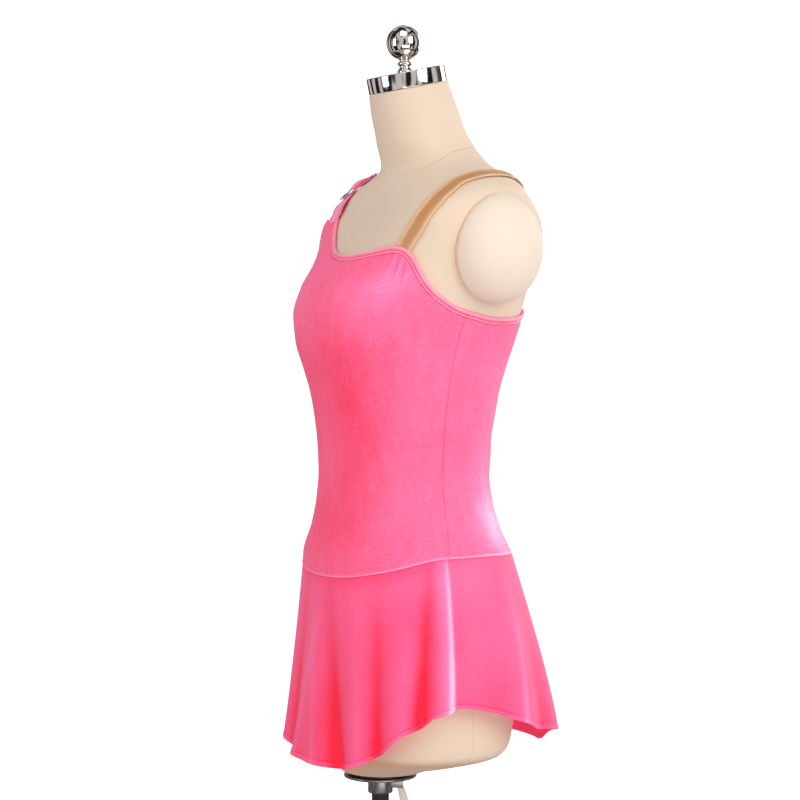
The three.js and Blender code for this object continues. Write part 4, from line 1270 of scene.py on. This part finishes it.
def panel_place(edge, sides, settings):
    """place(u, v) and the painted light and shade of a bodice panel, from its top edge down to the waist
    seam.
    """
    wall_out = (settings.cloth_gap + settings.cloth_wall) / MM
    low = np.array(sides(edge[:, 1]))
    span = low[1] - low[0]
    middle = sum(sides(np.array(400.0))) / 2
    bearing = middle + (edge[:, 0] - middle + 180) % 360 - 180
    foot_height = waist_height(edge[:, 2]) + SEAM_GAP
    foot_low, foot_high = sides(foot_height)
    top_share = np.clip((bearing - low[0]) / span, 0, 1)
    foot_share = np.clip((edge[:, 2] - foot_low) / (foot_high - foot_low), 0, 1)
    for share in (top_share, foot_share):
        share[0], share[-1] = 0, 1
    columns = np.arange(len(edge))

    def spot(u, v):
        at = u * (len(edge) - 1)
        top, foot = (np.interp(at, columns, values) for values in (edge[:, 1], foot_height))
        height = top + (foot - top) * v
        first, last = (np.interp(at, columns, values) for values in (top_share, foot_share))
        left, right = sides(height)
        return left + (right - left) * (first + (last - first) * v), height

    def place(u, v):
        bearing, height = spot(u, v)
        left, right = sides(height)
        to_seam = np.minimum(np.abs(bearing - left), np.abs(bearing - right)) * ARC_PER_DEGREE
        to_waist = height - waist_height(bearing)
        out = wall_out + rolls(BODICE_SIDE, to_seam) + rolls(BODICE_FOOT, to_waist)
        return form_point(bearing, height, out + crease_height(bearing, height))

    # painted light and shade on the bodice: on its creases, from its table of marks, and along the edge at
    # the waist seam
    def painted_light(u, v):
        bearing, height = spot(u, v)
        lift = BODICE_LIGHT_LEVEL + CREASE_LIGHT * crease_height(bearing, height)
        for at, level, wide, tall, amount in BODICE_LIGHT_AND_SHADE:
            for side in (bearing, -180 - bearing):
                lift = lift + amount * bump((side - at + 180) % 360 - 180, wide) * bump(height - level, tall)
        # a painted highlight along the edge turned under at the waist seam
        return lift + 0.5 * bump(height - waist_height(bearing) - 1.2, 1.4)

    return place, painted_light


class DRESS_OT_bodice(bpy.types.Operator):
    """Build the bodice's front and back panels"""
    bl_idname = "dress.bodice"
    bl_label = "Bodice"

    def execute(self, context):
        settings = context.scene.dress
        width = settings.binding_width / MM
        cloth = velvet("Pink stretch velvet", settings, tuple(settings.bodice_colour), BODICE_SPECKLE,
                       BODICE_UV[1], BODICE_TURN)
        wrong_side = velvet_back("Back of the bodice velvet", settings)
        neck, arm = (inset_edge(frames, -1, width) for frames in (NECK_FRAMES, ARM_FRAMES))
        tab_top = neck[-1] + (arm[0] - neck[-1]) * np.linspace(0, 1, 10)[1:-1, None]
        front_edge, back_edge = np.vstack([neck, tab_top, arm]), inset_edge(BACK_FRAMES, 1, width)
        front_edgings = ("neckline_binding", "armhole_binding")
        panels = (
            ("bodice_front", front_edge, front_sides, BODICE_FRONT_CUT, front_edgings),
            ("bodice_back", back_edge, back_sides, BODICE_BACK_CUT, ("back_binding",)),
        )
        for name, edge, sides, cut, edgings in panels:
            place, painted_light = panel_place(edge, sides, settings)
            columns = np.unique(np.concatenate([np.linspace(0, 1, len(edge)), shares(1, 0.02, 0.02)]))
            bm = woven(columns, shares(130, 0, 0.03, 16), place, size=BODICE_UV, out_from=WAIST_MIDDLE,
                       marks={"painted_light": painted_light})
            piece = publish(bm, f"{name}_velvet", "form", cloth)
            thicken(piece, settings.cloth_wall, wrong_side)
            stand_for(piece, name)
        return {"FINISHED"}


class DRESS_OT_bindings(bpy.types.Operator):
    """Build the rolled bindings of the neckline, the right armhole and the back"""
    bl_idname = "dress.bindings"
    bl_label = "Bindings"

    def execute(self, context):
        settings = context.scene.dress
        cloth = binding_cloth("Pink velvet binding", settings)
        section = smooth_route([*BINDING_SECTION, BINDING_SECTION[0]], 33)[:-1]
        edges = (("neckline_binding", NECK_FRAMES, -1), ("armhole_binding", ARM_FRAMES, -1),
                 ("back_binding", BACK_FRAMES, 1))
        for name, (points, normals, across, _), sign in edges:
            piece = publish(swept(points, across * sign, normals, section), f"{name}_roll", "form", cloth)
            stand_for(piece, name)
        return {"FINISHED"}


# ---------------------------------------------------------------- the skirt
def fold_height(bearing, t):
    """How far the folds stand out or in, t from 0 at the waist seam to 1 at the hem."""
    lift = np.zeros_like(bearing)
    for at_waist, at_hem, height, front, back, slowness in FOLDS:
        middle = at_waist + (at_hem - at_waist) * t
        for side in (bearing, -180 - bearing):
            away = (side - middle + 180) % 360 - 180
            lift += height * bump(away, np.where(away < 0, front, back)) * t**slowness
    return lift


def skirt_point(bearing, t, wall_out):
    """Points of the skirt's outside."""
    turn = turn_from_front(bearing)
    top = waist_height(bearing)
    out = form_normal(bearing, top) * np.array([1, 1, 0])
    hang, haste = np.moveaxis(flare_out(turn), -1, 0)
    reach = wall_out + hang * (1 - (1 - t) ** haste) + fold_height(bearing, t)
    points = form_point(bearing, top) + unit(out) * reach[..., None]
    points[..., 2] = FORM_LIFT + top + SKIRT_TUCK + (hem_height(turn)[..., 0] - top - SKIRT_TUCK) * t
    return points


def skirt_seam(t):
    """Bearing of the skirt's left side seam."""
    return SEAM_AT_WAIST + SKIRT_SEAM_TURN * t


class DRESS_OT_skirt(bpy.types.Operator):
    """Build the flared skirt's front and back panels, with their folds and turned hem"""
    bl_idname = "dress.skirt"
    bl_label = "Skirt"

    def execute(self, context):
        settings = context.scene.dress
        wall_out = (settings.cloth_gap + settings.cloth_wall) / MM
        hem = settings.hem_depth / MM
        length = SKIRT_UV[1] / MM
        cloth = velvet("Pink skirt velvet", settings, tuple(settings.skirt_colour), SKIRT_SPECKLE,
                       SKIRT_UV[1], settings.hem_depth)
        wrong_side = velvet_back("Back of the skirt velvet", settings)
        for name, far_side, cut in (("front", -180, SKIRT_FRONT_CUT), ("back", 180, SKIRT_BACK_CUT)):

            def bearing_at(u, t):
                left = skirt_seam(t)
                return left + (far_side - left - left) * u

            def place(u, t):
                drop = length * t
                from_fold = length - drop - hem
                to_seam = np.minimum(u, 1 - u) * SKIRT_SPAN
                turned_edge = HEM_STEP * np.clip(-from_fold / 1.2, 0, 1) + rolls(HEM_STITCHING, from_fold)
                seams = rolls(SKIRT_TOP, drop) + rolls(SKIRT_SIDE, to_seam)
                return skirt_point(bearing_at(u, t), t, wall_out + turned_edge + seams)

            # painted light and shade on the skirt: painted shade in the fold troughs and towards the hem,
            # painted highlights on the ridges, a painted glint by the side seam
            def painted_light(u, t):
                bearing = bearing_at(u, t)
                shade = SKIRT_LIGHT_LEVEL + fold_height(bearing, t) * FOLD_LIGHT + HEM_SHADE * (0.6 - t)
                for at_waist, at_hem, amount, front, back, slowness in SKIRT_LIGHT_AND_SHADE:
                    for side in (bearing, -180 - bearing):
                        away = (side - at_waist - (at_hem - at_waist) * t + 180) % 360 - 180
                        shade = shade + amount * bump(away, np.where(away < 0, front, back)) * t**slowness
                # painted shade on the skirt just below the bodice's edge
                return shade - 0.25 * bump(t, 0.06) * bump(turn_from_front(bearing) - 30, 55)

            bm = woven(shares(340, 0.015, 0.015), shares(90, 0.03, 0.05, 16), place, size=SKIRT_UV,
                       out_from=HIP_MIDDLE, marks={"painted_light": painted_light})
            piece = publish(bm, f"skirt_{name}_velvet", "form", cloth)
            thicken(piece, settings.cloth_wall, wrong_side)
            stand_for(piece, f"skirt_{name}")
        return {"FINISHED"}


# ---------------------------------------------------------------- the straps
def route_frames(route, count):
    """Points, normals and directions across at even steps along a route on the form."""
    on_form, _ = settle(route)
    curve = smooth_route(on_form, count)
    points, normals = settle(curve - np.array([0, 0, FORM_LIFT]))
    return points, normals, unit(np.cross(normals, unit(tangents(curve))))


def ribbon(width, near, far, edge):
    """A ribbon's section: rounded edges that stand proud of its middle."""
    half, middle = width / 2, (near + far) / 2
    side = [(half - 0.4, near), (half, middle), (half - 0.3, far + edge), (half - 1.6, far + edge),
            (half - 2.8, far)]
    other = [(-x, y) for x, y in reversed(side)]
    outline = [other[-1], (0, near), *side, (0, far - 0.1), *other[:-1]]
    return smooth_route([*outline, outline[0]], 37)[:-1]


class DRESS_OT_straps(bpy.types.Operator):
    """Build the pink adjustable strap with its doubled loop, and the nude strap"""
    bl_idname = "dress.straps"
    bl_label = "Straps"

    def execute(self, context):
        settings = context.scene.dress
        near, far = settings.cloth_gap / MM, (settings.cloth_gap + settings.cloth_wall) / MM
        pink = strap_cloth("Pink strap velvet", settings)
        nude = elastic("Nude satin elastic", settings)
        lifted = STRAP_LIFT * np.sin(np.pi * np.minimum(np.linspace(0, 1, STRAP_STEPS) / LIFT_END, 1))
        for name, route, width, lift, cloth, slot in (
            ("strap_right", RIGHT_STRAP_ROUTE, settings.strap_width / MM, lifted, pink, "binding_fabric"),
            ("strap_left", LEFT_STRAP_ROUTE, settings.nude_strap_width / MM, lifted * 0, nude, "nude_strap"),
        ):
            points, normals, across = route_frames(route, STRAP_STEPS)
            if name == "strap_right":
                points, normals, across, lift = self.sewn_on(points, normals, across, lift)
            bm = swept(points, across, normals, ribbon(width, near, far, 0.45), lift=lift)
            piece = publish(bm, f"{name}_band", "form", cloth)
            metal = ("strap_slider_wire", "strap_ring_wire") if name == "strap_right" else ()
            self.declare(piece, points, width, with_pieces=[bpy.data.objects[part] for part in metal])
            stand_for(piece, name)
        points, normals, across = route_frames(RIGHT_STRAP_ROUTE, LOOP_STEPS + 1)
        first, last = round(LOOP_START * LOOP_STEPS), round(LOOP_END * LOOP_STEPS)
        part = slice(first, last + 1)
        share = np.linspace(0, 1, last - first + 1)
        bulge = LOOP_BULGE * np.sin(np.pi * share) ** 0.7
        width = settings.strap_width / MM - 1
        underside = far + SEAM_GAP
        section = ribbon(width, underside, underside + settings.cloth_wall / MM, 0.3)
        bm = swept(points[part], across[part], normals[part], section, lift=bulge, crown=0.95)
        piece = publish(bm, "strap_right_loop_band", "form", pink)
        self.declare(piece, points[part], width, rests_on=("strap_right_band",))
        stand_for(piece, "strap_right_loop")
        return {"FINISHED"}

    def sewn_on(self, points, normals, across, lift):
        """The strap led a little further down, over the top of the bodice's tab."""
        back = np.linspace(LAP, 1, 5)[:, None]
        ahead = unit(points[1:2] - points[:1])
        lead = [np.repeat(way[:1], len(back), 0) for way in (normals, across)]
        over = LAP_LIFT * bump(np.arange(len(lift)), 6.0)
        lift = np.concatenate([np.full(len(back), LAP_LIFT), np.maximum(lift, over)])
        points = np.vstack([points[:1] - ahead * back, points])
        return points, np.vstack([lead[0], normals]), np.vstack([lead[1], across]), lift

    def declare(self, piece, points, width, rests_on=("form_cover",), with_pieces=()):
        """Takes a strap and the facts of its strip, and does nothing with them.
        Declares a strap as a strip as wide as it lies and a little shorter.
        """


def wire_frame(path, radius, closed):
    """A round wire along a flat path in the XY plane."""
    ring = np.array(arc((0, 0), radius, 0, 360, 13)[:-1])
    if closed:
        ahead, behind = np.roll(path, -1, 0), np.roll(path, 1, 0)
        along = unit(ahead - behind)
        path, along = np.vstack([path, path[:1]]), np.vstack([along, along[:1]])
    else:
        along = unit(tangents(path))
    up = np.tile([0.0, 0.0, 1.0], (len(path), 1))
    return swept(path, np.cross(along, up), up, ring, closed=closed)


def rounded_frame(half_width, low, high, corner):
    """A rectangle's outline with round corners, as 3-D points."""
    corners = [((half_width - corner, high - corner), 0), ((corner - half_width, high - corner), 90),
               ((corner - half_width, low + corner), 180), ((half_width - corner, low + corner), 270)]
    outline = [point for centre, start in corners for point in arc(centre, corner, start, start + 90, 7)]
    return np.array([(x, y, 0) for x, y in outline])


class DRESS_OT_strap_metal(bpy.types.Operator):
    """Build the slider and the ring of the adjustable strap"""
    bl_idname = "dress.strap_metal"
    bl_label = "Slider and ring"

    def execute(self, context):
        settings = context.scene.dress
        metal = polished("Strap chrome", tuple(settings.metal_colour), 0.16)
        far = (settings.cloth_gap + settings.cloth_wall) / MM
        half = settings.strap_width / MM / 2 + WIRE_ROOM
        points, normals, across = route_frames(RIGHT_STRAP_ROUTE, LOOP_STEPS + 1)
        # a frame's name, its share of the strap's length, and its ends and bars along the strap from there
        for name, share, low, high, bars in (
            ("strap_slider", LOOP_START, -10, -2, [-6]),
            ("strap_ring", LOOP_END, 1.6, 7, []),
        ):
            at = round(share * LOOP_STEPS)
            bm = wire_frame(rounded_frame(half, low, high, WIRE_CORNER), WIRE_RADIUS, True)
            for bar in bars:
                rod = np.array([(-half, bar, 0), (0, bar, 0), (half, bar, 0)])
                absorb(bm, wire_frame(rod, WIRE_RADIUS * 0.9, False))
            side, up = Vector(-across[at]), Vector(normals[at])
            along = Vector(across[at]).cross(up)
            place = Matrix((side, along, up)).transposed().to_4x4()
            place.translation = (Vector(points[at]) + up * (far + SEAM_GAP + WIRE_RADIUS + 0.3)) * MM
            bmesh.ops.transform(bm, matrix=place, verts=bm.verts)
            stand_for(publish(bm, f"{name}_wire", "form", metal), name)
        return {"FINISHED"}


# ---------------------------------------------------------------- the stand
def ring_profile(inner, radius, low, high, corner):
    """The closed outline of a ring, with rounded outer corners."""
    return [(inner, low), *arc((radius - corner, low + corner), corner, -90, 0, 4),
            *arc((radius - corner, high - corner), corner, 0, 90, 4), (inner, high), (inner, low)]


class DRESS_OT_stand(bpy.types.Operator):
    """Build the plate, spacer, clamp, lever, pole and base"""
    bl_idname = "dress.stand"
    bl_label = "Stand"

    def execute(self, context):
        settings = context.scene.dress_form
        grey = satin_metal("Clamp metal", tuple(settings.clamp_colour), 0.22, 0.85)
        black = satin_metal("Black enamel", tuple(settings.pole_colour), 0.3, 0.0)
        plastic = moulded_plastic("Lever plastic", tuple(settings.lever_colour))
        steps = settings.round_steps
        plate = ring_profile(BORE_RADIUS, PLATE_RADIUS, FORM_LIFT, PLATE_TOP, 0.8)
        spacer = ring_profile(BORE_RADIUS, SPACER_RADIUS, PLATE_TOP + SEAM_GAP, SPACER_TOP, 0.6)
        pole_end = (POLE_RADIUS - POLE_ROUNDING, POLE_TOP - POLE_ROUNDING)
        pole = [(0, POLE_FOOT), (POLE_RADIUS, POLE_FOOT), *arc(pole_end, POLE_ROUNDING, 0, 90, 5),
                (0, POLE_TOP)]
        base = [(0, 0), *arc((BASE_RADIUS - 1, 1), 1, -90, 0, 4), *arc((BASE_RADIUS - 4, 4), 4, 0, 90, 8),
                (100, 8.2), (21, 8.6), (18, 10), (17, 12.5), *arc((15, SOCKET_TOP - 2), 2, 0, 90, 6),
                (SOCKET_RADIUS, SOCKET_TOP), (SOCKET_RADIUS, SOCKET_FLOOR), (0, SOCKET_FLOOR)]
        for name, profile, metal, body, slot in (
            ("form_plate", plate, grey, "form", "clamp_metal"),
            ("form_spacer", spacer, black, "form", "black_metal"),
            ("pole", pole, black, "stand", "black_metal"),
            ("base", base, black, "stand", "black_metal"),
        ):
            stand_for(publish(turned(profile, steps), f"{name}_turned", body, metal), name)

        place = Matrix.Translation((0, 0, LEVER_HEIGHT * MM))
        place = place @ Matrix.Rotation(math.radians(LEVER_BEARING), 4, "Z")
        tube = ring_profile(BORE_RADIUS, COLLAR_RADIUS, COLLAR_TOP - COLLAR_LENGTH, COLLAR_TOP, 1.2)
        collar = turned(tube, steps)
        out, aside = EAR_PLACE
        for side in (-1, 1):
            ear = bmesh.new()
            bmesh.ops.create_cube(ear, size=1.0)
            bmesh.ops.scale(ear, vec=Vector(EAR_SIZE) * MM, verts=ear.verts)
            bmesh.ops.translate(ear, vec=Vector((out, side * aside, 0)) * MM, verts=ear.verts)
            soften(ear, 0.9)
            bmesh.ops.transform(ear, matrix=place, verts=ear.verts)
            absorb(collar, ear)
        stand_for(publish(collar, "collar_clamp", "clamp", grey), "collar")
        stand_for(publish(self.lever(place), "lever_handle", "lever", plastic), "lever")
        return {"FINISHED"}

    def lever(self, place):
        """The hub and the flat handle that hangs from it, cut from one plate."""
        outline = smooth_route([*LEVER_OUTLINE, LEVER_OUTLINE[0]], 73)[:-1]
        near_face = -LEVER_THICKNESS / 2
        bm = bmesh.new()
        verts = [bm.verts.new(((LEVER_OUT + x) * MM, near_face * MM, z * MM)) for x, z in outline]
        face = bm.faces.new(verts)
        raised = bmesh.ops.extrude_face_region(bm, geom=[face])["geom"]
        moved = [item for item in raised if isinstance(item, bmesh.types.BMVert)]
        bmesh.ops.translate(bm, vec=(0, LEVER_THICKNESS * MM, 0), verts=moved)
        bmesh.ops.recalc_face_normals(bm, faces=bm.faces)
        soften(bm, 1.4, math.radians(60))
        bmesh.ops.transform(bm, matrix=place, verts=bm.verts)
        return bm


# ---------------------------------------------------------------- the stage
def softbox(name, aim, bearing, height, distance, size, power):
    """A soft rectangular light that stands away from the form and faces it."""
    light = bpy.data.lights.new(name, "AREA")
    light.shape = "RECTANGLE"
    light.size, light.size_y = size
    light.energy = power
    lamp = bpy.data.objects.new(name, light)
    bpy.context.scene.collection.objects.link(lamp)
    turn = math.radians(bearing)
    lamp.location = (distance * math.sin(turn), aim[1] - distance * math.cos(turn), height)
    lamp.rotation_euler = (lamp.location - aim).to_track_quat("Z", "Y").to_euler()
    lamp.visible_camera = False


def studio_world():
    """Pale light from all round, with a dim banded room for what mirrors see."""
    world = bpy.data.worlds.new("Studio")
    world.use_nodes = True
    tree = world.node_tree
    nodes, links = tree.nodes, tree.links
    ambient = nodes["Background"]
    ambient.inputs["Color"].default_value = (0.96, 0.97, 1.0, 1)
    ambient.inputs["Strength"].default_value = 0.58
    room = nodes.new("ShaderNodeBackground")
    room.inputs["Strength"].default_value = 1.0
    way = nodes.new("ShaderNodeTexCoord")
    stretch = nodes.new("ShaderNodeMapping")
    stretch.inputs["Scale"].default_value = (1.0, 1.0, 0.12)
    bands = nodes.new("ShaderNodeTexNoise")
    bands.inputs["Scale"].default_value = 3.4
    bands.inputs["Detail"].default_value = 0.0
    walls = nodes.new("ShaderNodeValToRGB")
    stops = walls.color_ramp.elements
    for stop, (at, colour) in zip(stops, ((0.44, (0.012, 0.01, 0.011, 1)), (0.56, (0.75, 0.74, 0.73, 1)))):
        stop.position, stop.color = at, colour
    middle = stops.new(0.5)
    middle.color = (0.16, 0.13, 0.115, 1)
    ray = nodes.new("ShaderNodeLightPath")
    mix = nodes.new("ShaderNodeMixShader")
    links.new(way.outputs["Generated"], stretch.inputs["Vector"])
    links.new(stretch.outputs["Vector"], bands.inputs["Vector"])
    links.new(bands.outputs["Fac"], walls.inputs["Fac"])
    links.new(walls.outputs["Color"], room.inputs["Color"])
    links.new(ray.outputs["Is Glossy Ray"], mix.inputs["Fac"])
    links.new(ambient.outputs["Background"], mix.inputs[1])
    links.new(room.outputs["Background"], mix.inputs[2])
    links.new(mix.outputs["Shader"], nodes["World Output"].inputs["Surface"])
    return world


class DRESS_OT_stage(bpy.types.Operator):
    """Build the pale floor and backdrop, the lights and the camera"""
    bl_idname = "dress.stage"
    bl_label = "Stage"

    def execute(self, context):
        scene, settings = context.scene, context.scene.dress_stage
        paper = Finish("Pale paper", (0.9, 0.9, 0.9), 0.9, emission_color=(1.0, 1.0, 1.0),
                       emission_strength=0.75, specular_ior_level=0.1)
        fibres = paper.noise(30.0, 3.0)
        paper.surface(base_color=paper.blend(fibres, (0.885, 0.885, 0.885), (0.91, 0.91, 0.91)))
        radius = settings.backdrop_radius / MM
        bend = arc((radius, BACKDROP_CURVE), BACKDROP_CURVE, -90, 0, 24)
        bm = turned([(0, 0), *bend, (radius + BACKDROP_CURVE, BACKDROP_TOP)], 96)
        bmesh.ops.reverse_faces(bm, faces=bm.faces)
        backdrop = added(bm, "backdrop", paper.material)
        backdrop.visible_glossy = False
        backdrop.visible_diffuse = False
        scene.world = studio_world()

        aim = Vector((0, settings.aim_depth, settings.aim_height))
        for name, *placing in LIGHTS:
            softbox(name, aim, *placing)

        camera = bpy.data.objects.new("Camera", bpy.data.cameras.new("Camera"))
        scene.collection.objects.link(camera)
        scene.camera = camera
        camera.data.sensor_width = 36
        camera.data.lens = settings.lens
        turn, rise = settings.bearing, settings.elevation
        back = Vector((math.sin(turn) * math.cos(rise), -math.cos(turn) * math.cos(rise), math.sin(rise)))
        camera.location = aim + back * settings.distance
        camera.rotation_euler = back.to_track_quat("Z", "Y").to_euler()
        scene.view_settings.view_transform = "Standard"
        return {"FINISHED"}


# ---------------------------------------------------------------- the add-on
OPERATORS = (DRESS_OT_stage, DRESS_OT_form, DRESS_OT_arm_pads, DRESS_OT_neck_metal, DRESS_OT_bindings,
             DRESS_OT_bodice, DRESS_OT_skirt, DRESS_OT_strap_metal, DRESS_OT_straps, DRESS_OT_stand)
GROUPS = {"dress": DressSettings, "dress_form": FormSettings, "dress_stage": StageSettings}


class DRESS_PT_sidebar(bpy.types.Panel):
    """Settings and steps of the skating dress"""
    bl_label = "Skating dress"
    bl_space_type = "VIEW_3D"
    bl_region_type = "UI"
    bl_category = "Dress"

    def draw(self, context):
        layout = self.layout
        for group, settings in GROUPS.items():
            box = layout.box()
            for name in settings.__annotations__:
                box.prop(getattr(context.scene, group), name)
        for operator in OPERATORS:
            layout.operator(operator.bl_idname)


CLASSES = (*GROUPS.values(), *OPERATORS, DRESS_PT_sidebar)


def register():
    """Adds the classes and the settings to Blender."""
    for cls in CLASSES:
        bpy.utils.register_class(cls)
    for name, settings in GROUPS.items():
        setattr(bpy.types.Scene, name, PointerProperty(type=settings))


def unregister():
    """Takes the settings and the classes out again."""
    for name in GROUPS:
        delattr(bpy.types.Scene, name)
    for cls in reversed(CLASSES):
        bpy.utils.unregister_class(cls)


def main():
    """Builds the dress, its form and the stage."""
    register()
    for operator in OPERATORS:
        group, name = operator.bl_idname.split(".")
        getattr(getattr(bpy.ops, group), name)()


if __name__ == "__main__":
    main()
